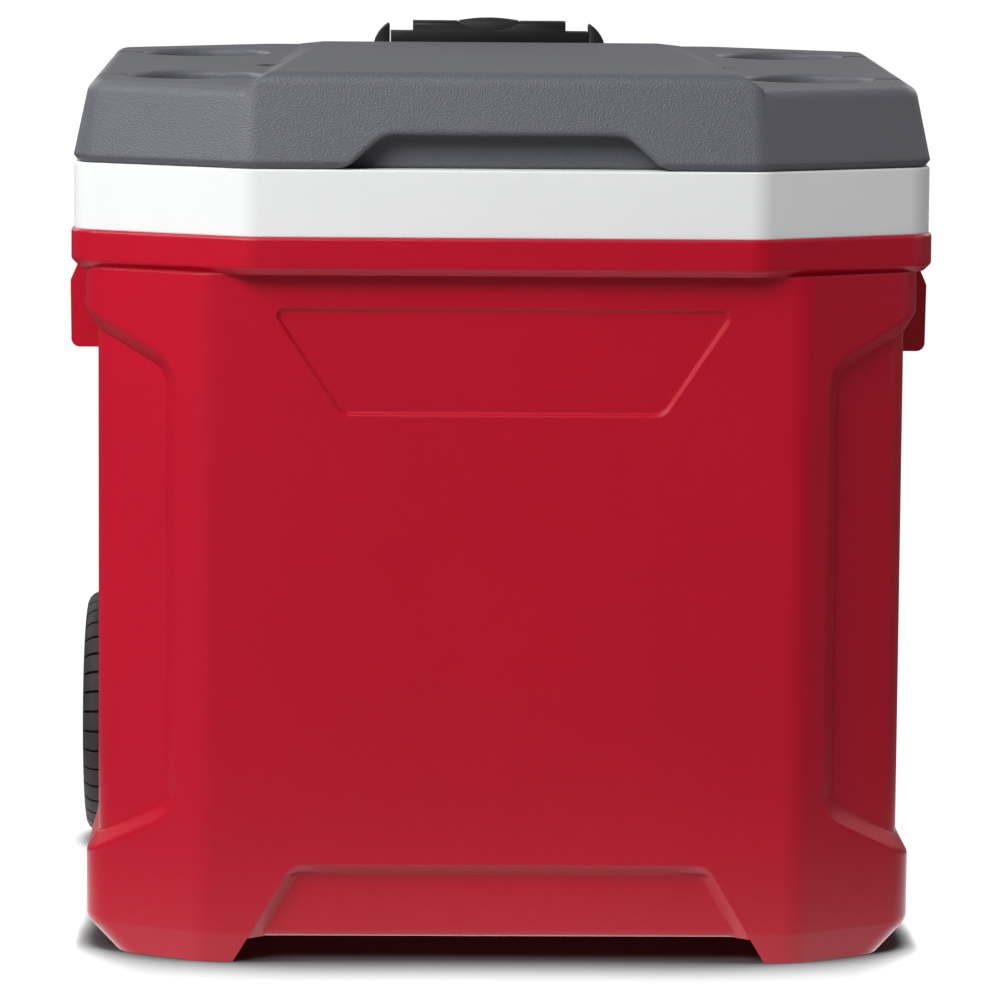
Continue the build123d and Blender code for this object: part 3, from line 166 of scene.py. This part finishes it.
def mouldedPlastic(name, look):
    mat, tree, skin = nodeTree(name)
    link = tree.links.new
    coord = addNode(tree, "ShaderNodeTexCoord").outputs["Object"]
    base = toLinear(look["rgb"])
    # slow tone drift from the moulding
    drift = addNode(tree, "ShaderNodeTexNoise", Scale=9, Detail=3, Roughness=0.55)
    link(coord, drift.inputs["Vector"])
    ends = (shade(base, 1 - look["drift"]), shade(base, 1 + look["drift"]))
    tone = ramp(tree, drift.outputs["Fac"], mouldLook["driftBand"], ends)
    # fine speckle of the tooled grain
    grain = addNode(tree, "ShaderNodeTexNoise", Scale=look["grain"], Detail=2, Roughness=0.6)
    link(coord, grain.inputs["Vector"])
    ends = ((1 - look["speck"],) * 3, (1, 1, 1))
    dots = ramp(tree, grain.outputs["Fac"], mouldLook["speckBand"], ends)
    mixed = addNode(tree, "ShaderNodeMix", data_type="RGBA", blend_type="MULTIPLY")
    mixed.inputs["Factor"].default_value = 1
    link(tone, mixed.inputs["A"])
    link(dots, mixed.inputs["B"])
    link(mixed.outputs["Result"], skin.inputs["Base Color"])
    link(spread(tree, grain.outputs["Fac"], (0, 1, *look["rough"])), skin.inputs["Roughness"])
    height = grain.outputs["Fac"]
    if "cells" in look:  # leathery pebbles under the grain
        cells = addNode(tree, "ShaderNodeTexVoronoi", Scale=look["cells"], feature="SMOOTH_F1")
        link(coord, cells.inputs["Vector"])
        height = mathOf(tree, "MULTIPLY_ADD", cells.outputs["Distance"], look["pebble"], height)
    soft = addNode(tree, "ShaderNodeBevel", samples=4, Radius=look["edge"])  # moulded edges are never sharp
    bump = addNode(tree, "ShaderNodeBump", Strength=look["bump"], Distance=mouldLook["grainDeep"])
    link(height, bump.inputs["Height"])
    link(soft.outputs["Normal"], bump.inputs["Normal"])
    link(bump.outputs["Normal"], skin.inputs["Normal"])
    skin.inputs["Specular IOR Level"].default_value = look["sheen"]
    return mat


metalLook = {
    "tubeMetal": {"rgb": (196, 197, 201), "stretch": (900, 900, 6), "rough": (0.25, 0.4)},
    "screwSteel": {"rgb": (168, 168, 172), "stretch": (1500, 1500, 1500), "rough": (0.28, 0.45)},
}
streakLook = {"band": (0.3, 0.7), "dark": 0.86, "pale": 1.06}


def drawnMetal(name, look):
    mat, tree, skin = nodeTree(name)
    link = tree.links.new
    coord = addNode(tree, "ShaderNodeTexCoord").outputs["Object"]
    squeeze = addNode(tree, "ShaderNodeMapping", Scale=look["stretch"])
    link(coord, squeeze.inputs["Vector"])
    lines = addNode(tree, "ShaderNodeTexNoise", Scale=1, Detail=4, Roughness=0.6)
    link(squeeze.outputs["Vector"], lines.inputs["Vector"])
    base = toLinear(look["rgb"])
    ends = (shade(base, streakLook["dark"]), shade(base, streakLook["pale"]))
    link(ramp(tree, lines.outputs["Fac"], streakLook["band"], ends), skin.inputs["Base Color"])
    link(spread(tree, lines.outputs["Fac"], (0, 1, *look["rough"])), skin.inputs["Roughness"])
    bump = addNode(tree, "ShaderNodeBump", Strength=0.15, Distance=0.0001)
    link(lines.outputs["Fac"], bump.inputs["Height"])
    link(bump.outputs["Normal"], skin.inputs["Normal"])
    skin.inputs["Metallic"].default_value = 1
    return mat


rubberLook = {
    "tyreRubber": {"rgb": (44, 40, 40), "dust": 60, "rough": (0.55, 0.75), "sheen": 0.28},
    "sealRubber": {"rgb": (26, 26, 27), "dust": 200, "rough": (0.6, 0.85), "sheen": 0.3},
}
dustLook = {"band": (0.35, 0.75), "clean": 0.8, "dusty": 1.5}


def rubberSkin(name, look):
    mat, tree, skin = nodeTree(name)
    link = tree.links.new
    coord = addNode(tree, "ShaderNodeTexCoord").outputs["Object"]
    base = toLinear(look["rgb"])
    dust = addNode(tree, "ShaderNodeTexNoise", Scale=look["dust"], Detail=5, Roughness=0.65)
    link(coord, dust.inputs["Vector"])
    ends = (shade(base, dustLook["clean"]), shade(base, dustLook["dusty"]))
    link(ramp(tree, dust.outputs["Fac"], dustLook["band"], ends), skin.inputs["Base Color"])
    link(spread(tree, dust.outputs["Fac"], (0, 1, *look["rough"])), skin.inputs["Roughness"])
    grit = addNode(tree, "ShaderNodeTexNoise", Scale=2200, Detail=2)
    link(coord, grit.inputs["Vector"])
    bump = addNode(tree, "ShaderNodeBump", Strength=0.3, Distance=0.0002)
    link(grit.outputs["Fac"], bump.inputs["Height"])
    link(bump.outputs["Normal"], skin.inputs["Normal"])
    skin.inputs["Specular IOR Level"].default_value = look["sheen"]
    return mat


foamLook = {"foam": {"rgb": (236, 226, 190), "bubbles": 700, "band": (0.1, 0.7), "dark": 0.8, "rough": 0.9}}


def foamFill(name, look):
    mat, tree, skin = nodeTree(name)
    link = tree.links.new
    coord = addNode(tree, "ShaderNodeTexCoord").outputs["Object"]
    base = toLinear(look["rgb"])
    bubbles = addNode(tree, "ShaderNodeTexVoronoi", Scale=look["bubbles"])
    link(coord, bubbles.inputs["Vector"])
    # the bubble pattern is the foam's own; its sunken hollows are darkened as painted shade
    tone = ramp(tree, bubbles.outputs["Distance"], look["band"], (shade(base, look["dark"]), base))
    link(tone, skin.inputs["Base Color"])
    bump = addNode(tree, "ShaderNodeBump", Strength=0.5, Distance=0.0006)
    link(bubbles.outputs["Distance"], bump.inputs["Height"])
    link(bump.outputs["Normal"], skin.inputs["Normal"])
    skin.inputs["Roughness"].default_value = look["rough"]
    return mat


finishes = {}
for makeFinish, looks in ((mouldedPlastic, plasticLook), (drawnMetal, metalLook), (rubberSkin, rubberLook),
                          (foamFill, foamLook)):
    for name, look in looks.items():
        finishes[name] = makeFinish(name, look)
slotFinish = {
    "red_shell": "shellRed", "white_liner": "linerWhite", "grey_lid": "lidGrey", "foam": "foam",
    "black_plastic": "handleBlack", "tube_metal": "tubeMetal", "steel": "screwSteel", "tyre": "tyreRubber",
    "hub_plastic": "hubBlack", "seal_rubber": "sealRubber", "bush_plastic": "nylon",
}
nodeSlot = {part["node"]: part["material_slot"] for part in frame["record"]["subparts"]}
nodeBody = {node: body for body, group in frame["record"]["behaviour"]["bodies"].items() for node in group}
for node, slot in nodeSlot.items():
    nodes[node].data.materials.clear()
    nodes[node].data.materials.append(finishes[slotFinish[slot]])
print("finishes on", len(nodes), "nodes")

alongAxis = 0.9  # a face whose normal has this share of an axis faces along it
copyLook = {"mergeWithin": 0.00002, "flatWithin": 0.5}


def pick(obj):
    if bpy.context.mode != "OBJECT":
        bpy.ops.object.mode_set(mode="OBJECT")
    bpy.ops.object.select_all(action="DESELECT")
    obj.select_set(True)
    bpy.context.view_layer.objects.active = obj


def newPiece(name):
    obj = bpy.context.object  # the primitive just added
    obj.name = obj.data.name = name
    bpy.ops.object.transform_apply(location=True, rotation=True, scale=True)
    return obj


def editAll(obj):
    pick(obj)
    bpy.ops.object.mode_set(mode="EDIT")
    bpy.ops.mesh.select_all(action="SELECT")


def clearPicks(obj, kind):
    pick(obj)
    bpy.ops.object.mode_set(mode="EDIT")
    bpy.ops.mesh.select_mode(type=kind)
    bpy.ops.mesh.select_all(action="DESELECT")
    bpy.ops.object.mode_set(mode="OBJECT")


def pickFaces(obj, test):
    clearPicks(obj, "FACE")
    for face in obj.data.polygons:
        face.select = test(face)
    bpy.ops.object.mode_set(mode="EDIT")


def pickEdges(obj, test):
    clearPicks(obj, "EDGE")
    spots = obj.data.vertices
    for edge in obj.data.edges:
        edge.select = test(spots[edge.vertices[0]].co, spots[edge.vertices[1]].co)
    bpy.ops.object.mode_set(mode="EDIT")


def pickCreases(obj, turn, test):
    clearPicks(obj, "EDGE")
    turned = {}
    for face in obj.data.polygons:
        for key in face.edge_keys:
            turned.setdefault(key, []).append(face.normal.copy())
    for edge in obj.data.edges:
        sides = turned[edge.key]
        spots = [obj.data.vertices[i].co for i in edge.vertices]
        sharp = len(sides) == 2 and turn[0] < math.degrees(sides[0].angle(sides[1], 0)) < turn[1]
        edge.select = sharp and all(test(spot) for spot in spots)
    bpy.ops.object.mode_set(mode="EDIT")


def addModifier(obj, kind, **values):
    pick(obj)
    bpy.ops.object.modifier_add(type=kind)
    modifier = obj.modifiers[-1]
    for key, value in values.items():
        setattr(modifier, key, value)
    bpy.ops.object.modifier_apply(modifier=modifier.name)


def softenEdges(obj, width, steps=2, angle=32):
    addModifier(obj, "BEVEL", width=width, segments=steps, limit_method="ANGLE",
                angle_limit=math.radians(angle))


def finishPiece(obj, slot, body, smooth=35):
    pick(obj)
    bpy.ops.object.shade_smooth_by_angle(angle=math.radians(smooth))
    obj.data.materials.clear()
    obj.data.materials.append(finishes[slotFinish[slot]])
    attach(obj, body)


def standFor(obj, node, smooth=35):
    finishPiece(obj, nodeSlot[node], nodeBody[node], smooth)
    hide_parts(node)


def nodeCopy(node, name):
    obj = bpy.data.objects.new(name, nodes[node].data.copy())
    scene.collection.objects.link(obj)
    pick(obj)
    bpy.ops.mesh.customdata_custom_splitnormals_clear()
    editAll(obj)
    bpy.ops.mesh.remove_doubles(threshold=copyLook["mergeWithin"])
    bpy.ops.mesh.dissolve_limited(angle_limit=math.radians(copyLook["flatWithin"]))
    bpy.ops.object.mode_set(mode="OBJECT")
    return obj


# moulded and cast pieces get their rounded edges
edgeLook = {
    "handle_housing": ("towHousing", 0.0010), "grip_base": ("gripLower", 0.0010),
    "grip_cover": ("gripUpper", 0.0009), "release_button": ("gripButton", 0.0012),
    "hinge_bracket_left": ("hingeBracketLeft", 0.0007), "hinge_bracket_right": ("hingeBracketRight", 0.0007),
    "lid_leaf_left": ("hingeLeafLeft", 0.0006), "lid_leaf_right": ("hingeLeafRight", 0.0006),
    "wheel_hub_left": ("hubLeft", 0.0008), "wheel_hub_right": ("hubRight", 0.0008),
    "hub_cap_left": ("hubCapLeft", 0.0008), "hub_cap_right": ("hubCapRight", 0.0008),
    "tube_collars": ("tubeCollars", 0.0006), "stage_collars": ("stageCollars", 0.0006),
    "drain_plug": ("drainStopper", 0.0007), "drain_nut": ("drainNut", 0.0006),
    "drain_spout": ("drainSpout", 0.0005),
    "axle_plate_left": ("axlePlateLeft", 0.0006), "axle_plate_right": ("axlePlateRight", 0.0006),
}
for node, (name, width) in edgeLook.items():
    piece = nodeCopy(node, name)
    softenEdges(piece, width)
    standFor(piece, node)
    print("softened", name, len(piece.data.polygons), "faces")

# the lid's lower lip and the mouth of its finger recess are rolled
lidLook = {"lean": 12.2, "lipTurn": (45, 60), "lipTall": 0.0036, "lipRound": 0.0013, "lipSteps": 2,
           "mouthTurn": (80, 110), "mouthTop": 0.0205, "mouthHalf": 0.1, "mouthRound": 0.0026,
           "mouthSteps": 4, "mouthSlack": 0.0008, "frontSlack": 0.0013}
lidLean = math.radians(lidLook["lean"])
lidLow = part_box("lid_top")[0]


def onLip(spot):
    return spot.z - lidLow.z < lidLook["lipTall"]


def onMouth(spot):
    rise = spot.z - lidLow.z
    front = lidLow.y + (rise - lidLook["lipTall"]) * math.tan(lidLean)
    onFront = abs(spot.y - front) < lidLook["frontSlack"]
    inHeight = lidLook["lipTall"] - lidLook["mouthSlack"] < rise < lidLook["mouthTop"]
    return onFront and inHeight and abs(spot.x) < lidLook["mouthHalf"]


lidShell = nodeCopy("lid_top", "lidShell")
pickCreases(lidShell, lidLook["mouthTurn"], onMouth)
bpy.ops.mesh.bevel(offset=lidLook["mouthRound"], segments=lidLook["mouthSteps"], affect="EDGES",
                   clamp_overlap=True)
bpy.ops.object.mode_set(mode="OBJECT")
pickCreases(lidShell, lidLook["lipTurn"], onLip)
bpy.ops.mesh.bevel(offset=lidLook["lipRound"], segments=lidLook["lipSteps"], affect="EDGES",
                   clamp_overlap=True)
bpy.ops.object.mode_set(mode="OBJECT")
standFor(lidShell, "lid_top")
addModifier(lidShell, "WEIGHTED_NORMAL", keep_sharp=True)
print("lid", len(lidShell.data.polygons), "faces")

tyreLook = {"lugs": 38, "facesPerLug": 8, "grooveDeep": 0.0026, "grooveFrom": 0.75, "shoulder": 0.009,
            "shoulderSteps": 5, "wallFrom": 0.9, "wallFacing": 0.99, "wallMargin": 0.0013,
            "wallDeep": 0.0008, "edge": 0.0003, "rimSlack": 0.0005, "flatSlack": 0.0001}


def buildTyre(side):
    low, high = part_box("tyre_" + side)
    middle = (low + high) / 2
    outer = (high.y - low.y) / 2
    hubLow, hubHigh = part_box("wheel_hub_" + side)
    inner = (hubHigh.y - hubLow.y) / 2
    sides = tyreLook["lugs"] * tyreLook["facesPerLug"]
    shoulder = tyreLook["shoulder"]

    def reach(spot):
        return math.hypot(spot[1] - middle.y, spot[2] - middle.z)

    def onRim(a, b):
        flat = abs(a.x - b.x) < tyreLook["flatSlack"]
        return flat and min(reach(a), reach(b)) > outer - tyreLook["rimSlack"]

    def inGroove(face):
        spin = math.atan2(face.center.z - middle.z, face.center.y - middle.y) % (2 * math.pi)
        onTread = reach(face.center) > outer - tyreLook["grooveFrom"] * shoulder
        return onTread and int(spin / (2 * math.pi) * sides) % tyreLook["facesPerLug"] == 0

    def onWall(face):
        inside = reach(face.center) < outer - tyreLook["wallFrom"] * shoulder
        return inside and abs(face.normal.x) > tyreLook["wallFacing"]

    bpy.ops.object.select_all(action="DESELECT")
    bpy.ops.mesh.primitive_cylinder_add(vertices=sides, radius=outer, depth=high.x - low.x,
                                        end_fill_type="NGON", location=middle, rotation=(0, math.pi / 2, 0))
    tyre = newPiece("treadTyre" + side.capitalize())
    # open the bore that sits on the hub
    pickFaces(tyre, lambda face: abs(face.normal.x) > alongAxis)
    bpy.ops.mesh.inset(thickness=outer - inner)
    bpy.ops.mesh.bridge_edge_loops()
    # round shoulders
    pickEdges(tyre, onRim)
    bpy.ops.mesh.bevel(offset=shoulder, segments=tyreLook["shoulderSteps"], affect="EDGES")
    # cross grooves between the lugs
    pickFaces(tyre, inGroove)
    bpy.ops.mesh.extrude_region_shrink_fatten(TRANSFORM_OT_shrink_fatten={"value": -tyreLook["grooveDeep"]})
    # sunk ring on both side walls
    pickFaces(tyre, onWall)
    bpy.ops.mesh.inset(thickness=tyreLook["wallMargin"])
    bpy.ops.mesh.extrude_region_shrink_fatten(TRANSFORM_OT_shrink_fatten={"value": -tyreLook["wallDeep"]})
    bpy.ops.object.mode_set(mode="OBJECT")
    softenEdges(tyre, tyreLook["edge"], steps=1, angle=40)
    standFor(tyre, "tyre_" + side, smooth=30)
    print("tyre", side, len(tyre.data.polygons), "faces")


buildTyre("left")
buildTyre("right")

# sizes of a screw as shares of its head's radius or height, but for the shank's length and the slacks
screwLook = {"sides": 28, "dome": 0.45, "domeSteps": 4, "crossWide": 0.16, "crossLong": 0.62,
             "crossDeep": 0.6, "shankInset": 0.5, "shankLong": 0.004, "topSlack": 0.0001, "slack": 0.00005}
screwGroups = {
    "housing_screws": {"name": "housingScrews", "axis": (0, 1, 0)},
    "bracket_screws": {"name": "bracketScrews", "axis": (0, 1, 0)},
    "leaf_screws": {"name": "leafScrews", "axis": (0, math.cos(lidLean), math.sin(lidLean))},
    "axle_plate_screws": {"name": "plateScrews", "axis": "outward"},
    "grip_screws": {"name": "gripScrews", "axis": (0, 0, -1)},
}


def solidsOf(node):
    editAll(nodeCopy(node, "probe"))
    bpy.ops.mesh.separate(type="LOOSE")
    bpy.ops.object.mode_set(mode="OBJECT")
    solids = []
    for obj in list(bpy.context.selected_objects):
        solids.append([v.co.copy() for v in obj.data.vertices])
        bpy.data.objects.remove(obj)
    return solids


def offAxis(spot, tip, axis):
    step = spot - tip
    return (step - axis * step.dot(axis)).length


def buildScrew(name, radius, height):
    bpy.ops.object.select_all(action="DESELECT")
    bpy.ops.mesh.primitive_cylinder_add(vertices=screwLook["sides"], radius=radius, depth=height,
                                        location=(0, 0, -height / 2))
    screw = newPiece(name)
    pickEdges(screw, lambda a, b: min(a.z, b.z) > -screwLook["topSlack"])
    bpy.ops.mesh.bevel(offset=height * screwLook["dome"], segments=screwLook["domeSteps"], affect="EDGES")
    # shank below the head
    pickFaces(screw, lambda face: face.normal.z < -alongAxis)
    bpy.ops.mesh.inset(thickness=radius * screwLook["shankInset"])
    bpy.ops.mesh.extrude_region_move(TRANSFORM_OT_translate={"value": (0, 0, -screwLook["shankLong"])})
    bpy.ops.object.mode_set(mode="OBJECT")
    # cross recess cut by a plus-shaped bit
    wide = radius * screwLook["crossWide"]
    reach = radius * screwLook["crossLong"] - wide
    bpy.ops.object.select_all(action="DESELECT")
    bpy.ops.mesh.primitive_cube_add(size=2, location=(0, 0, 0),
                                    scale=(wide, wide, height * screwLook["crossDeep"]))
    bit = newPiece("crossBit")
    pickFaces(bit, lambda face: abs(face.normal.z) < alongAxis)
    bpy.ops.mesh.extrude_faces_move(TRANSFORM_OT_shrink_fatten={"value": reach})
    bpy.ops.object.mode_set(mode="OBJECT")
    addModifier(screw, "BOOLEAN", operation="DIFFERENCE", object=bit, solver="EXACT")
    bpy.data.objects.remove(bit)
    return screw


for node, group in screwGroups.items():
    placed = []
    for solid in solidsOf(node):
        axis = group["axis"]
        if axis == "outward":
            centre = sum(solid, Vector()) / len(solid)
            axis = (math.copysign(1, centre.x), 0, 0)
        axis = Vector(axis)
        top = max(spot.dot(axis) for spot in solid)
        crown = [spot for spot in solid if spot.dot(axis) > top - screwLook["slack"]]
        tip = sum(crown, Vector()) / len(crown)
        radius = max((spot - tip).length for spot in crown)
        rim = [spot for spot in solid if abs(offAxis(spot, tip, axis) - radius) < screwLook["slack"]]
        height = top - min(spot.dot(axis) for spot in rim)
        screw = buildScrew(group["name"], radius, height)
        screw.rotation_euler = axis.to_track_quat("Z", "Y").to_euler()
        screw.location = tip
        placed.append(screw)
    pick(placed[0])
    for screw in placed:
        screw.select_set(True)
    bpy.ops.object.join()
    screws = bpy.context.object
    bpy.ops.object.transform_apply(location=True, rotation=True, scale=True)
    standFor(screws, node)
    print("screws", group["name"], len(placed))

# coil spring under the release button
springLook = {"wire": 0.00062, "wireSides": 8, "turns": 7, "stepsPerTurn": 20, "travel": 0.0035}
springLow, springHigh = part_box("button_spring")
springMiddle = (springLow + springHigh) / 2
springTall = springHigh.z - springLow.z
wire = springLook["wire"]
coil = (springHigh.x - springLow.x - wire) / 2
bpy.ops.object.select_all(action="DESELECT")
bpy.ops.mesh.primitive_circle_add(vertices=springLook["wireSides"], radius=wire / 2,
                                  location=(coil, 0, wire / 2), rotation=(math.pi / 2, 0, 0))
spring = newPiece("gripSpring")
addModifier(spring, "SCREW", angle=2 * math.pi, screw_offset=(springTall - wire) / springLook["turns"],
            iterations=springLook["turns"], steps=springLook["stepsPerTurn"],
            render_steps=springLook["stepsPerTurn"])
editAll(spring)
bpy.ops.mesh.fill_holes(sides=springLook["wireSides"])
bpy.ops.mesh.select_all(action="SELECT")
bpy.ops.mesh.normals_make_consistent(inside=False)
bpy.ops.object.mode_set(mode="OBJECT")
spring.location = (springMiddle.x, springMiddle.y, springLow.z)
bpy.ops.object.transform_apply(location=True, rotation=True, scale=True)
standFor(spring, "button_spring", smooth=60)
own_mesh(spring)
print("spring", len(spring.data.polygons), "faces")

# rubber seal round the lid's plug, just below the top of the liner
gasketLook = {"long": 0.3868, "deep": 0.3568, "corner": 0.0334, "cornerSteps": 10, "wide": 0.0022,
              "tall": 0.003, "drop": 0.0042, "edge": 0.0009, "edgeSteps": 3}
panLow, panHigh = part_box("lid_pan")
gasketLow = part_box("inner_liner")[1].z - gasketLook["drop"]
wide = gasketLook["wide"]
bpy.ops.object.select_all(action="DESELECT")
bpy.ops.mesh.primitive_plane_add(size=1, location=(0, (panLow.y + panHigh.y) / 2, gasketLow))
bpy.ops.transform.resize(value=(gasketLook["long"] + 2 * wide, gasketLook["deep"] + 2 * wide, 1))
gasket = newPiece("lidGasket")
editAll(gasket)
bpy.ops.mesh.bevel(offset=gasketLook["corner"] + wide, segments=gasketLook["cornerSteps"], affect="VERTICES")
bpy.ops.mesh.select_mode(type="FACE")
bpy.ops.mesh.select_all(action="SELECT")
bpy.ops.mesh.inset(thickness=wide)
bpy.ops.mesh.delete(type="FACE")
bpy.ops.mesh.select_all(action="SELECT")
bpy.ops.mesh.extrude_region_move(TRANSFORM_OT_translate={"value": (0, 0, gasketLook["tall"])})
bpy.ops.mesh.select_all(action="SELECT")
bpy.ops.mesh.normals_make_consistent(inside=False)
bpy.ops.object.mode_set(mode="OBJECT")
softenEdges(gasket, gasketLook["edge"], steps=gasketLook["edgeSteps"])
finishPiece(gasket, "seal_rubber", "lid")
print("gasket", len(gasket.data.polygons), "faces")

# shadeReach and pool each give two distances, then the value at each of them
floorLook = {"size": 40, "bounce": 0.5, "rough": 0.8, "white": 1.2, "glow": 0.86, "shutBelow": 0.4,
             "openAbove": 0.98, "shadeReach": (0.2, 0.245, 0.085, 0.018), "pool": (0.27, 0.6, 2.5, 0.05)}
bpy.ops.object.select_all(action="DESELECT")
bpy.ops.mesh.primitive_plane_add(size=floorLook["size"], location=(0, 0, 0))
floor = bpy.context.object
floor.name = "studioFloor"
floorMat, floorTree, floorSkin = nodeTree("paleFloor")
floorLink = floorTree.links.new
floorSkin.inputs["Base Color"].default_value = (floorLook["bounce"],) * 3 + (1,)
floorSkin.inputs["Roughness"].default_value = floorLook["rough"]
floorSkin.inputs["Specular IOR Level"].default_value = 0
# shadow where the cooler stands close above the floor, wider in front than beside it
place = addNode(floorTree, "ShaderNodeTexCoord").outputs["Object"]
across = addNode(floorTree, "ShaderNodeSeparateXYZ")
floorLink(place, across.inputs["Vector"])
beside = mathOf(floorTree, "ABSOLUTE", across.outputs["X"])
contact = addNode(floorTree, "ShaderNodeAmbientOcclusion", samples=32)
floorLink(spread(floorTree, beside, floorLook["shadeReach"]), contact.inputs["Distance"])
shadow = spread(floorTree, contact.outputs["AO"], (floorLook["shutBelow"], floorLook["openAbove"], 0, 1),
                interpolation_type="SMOOTHSTEP")
# the lit table ends a little way off, which glossy faces show
away = addNode(floorTree, "ShaderNodeVectorMath", operation="LENGTH")
floorLink(place, away.inputs[0])
pool = spread(floorTree, away.outputs["Value"], floorLook["pool"])
rays = addNode(floorTree, "ShaderNodeLightPath").outputs
straight = mathOf(floorTree, "MAXIMUM", rays["Is Camera Ray"], rays["Is Transmission Ray"])
lit = mathOf(floorTree, "MULTIPLY", mathOf(floorTree, "MULTIPLY", straight, shadow), floorLook["white"])
mirrored = mathOf(floorTree, "MULTIPLY", rays["Is Glossy Ray"], pool)
glow = addNode(floorTree, "ShaderNodeEmission")
floorLink(mathOf(floorTree, "ADD", lit, mirrored), glow.inputs["Strength"])
seen = mathOf(floorTree, "MAXIMUM", straight, rays["Is Glossy Ray"])
blendFloor = addNode(floorTree, "ShaderNodeMixShader")
floorLink(mathOf(floorTree, "MULTIPLY", seen, floorLook["glow"]), blendFloor.inputs["Fac"])
floorLink(floorSkin.outputs["BSDF"], blendFloor.inputs[1])
floorLink(glow.outputs["Emission"], blendFloor.inputs[2])
floorLink(blendFloor.outputs["Shader"], floorTree.nodes["Material Output"].inputs["Surface"])
floor.data.materials.append(floorMat)

# the room is dark on the camera's side and pale behind the cooler, as gloss shows it
skyLook = {"fill": 0.08, "room": (-0.7, 0.6, 0.03, 0.24)}
world = bpy.data.worlds.new("studioWorld")
scene.world = world
world.use_nodes = True
skyTree = world.node_tree
sky = skyTree.nodes["Background"]
sky.inputs["Color"].default_value = (1, 1, 1, 1)
towards = addNode(skyTree, "ShaderNodeSeparateXYZ")
skyTree.links.new(addNode(skyTree, "ShaderNodeTexCoord").outputs["Generated"], towards.inputs["Vector"])
room = spread(skyTree, towards.outputs["Y"], skyLook["room"])
sight = addNode(skyTree, "ShaderNodeLightPath").outputs
backdrop = mathOf(skyTree, "MAXIMUM", sight["Is Camera Ray"], sight["Is Transmission Ray"])
gloss = mathOf(skyTree, "MULTIPLY", sight["Is Glossy Ray"], room)
strength = mathOf(skyTree, "MAXIMUM", mathOf(skyTree, "MAXIMUM", backdrop, gloss), skyLook["fill"])
skyTree.links.new(strength, sky.inputs["Strength"])
print("floor and backdrop set")
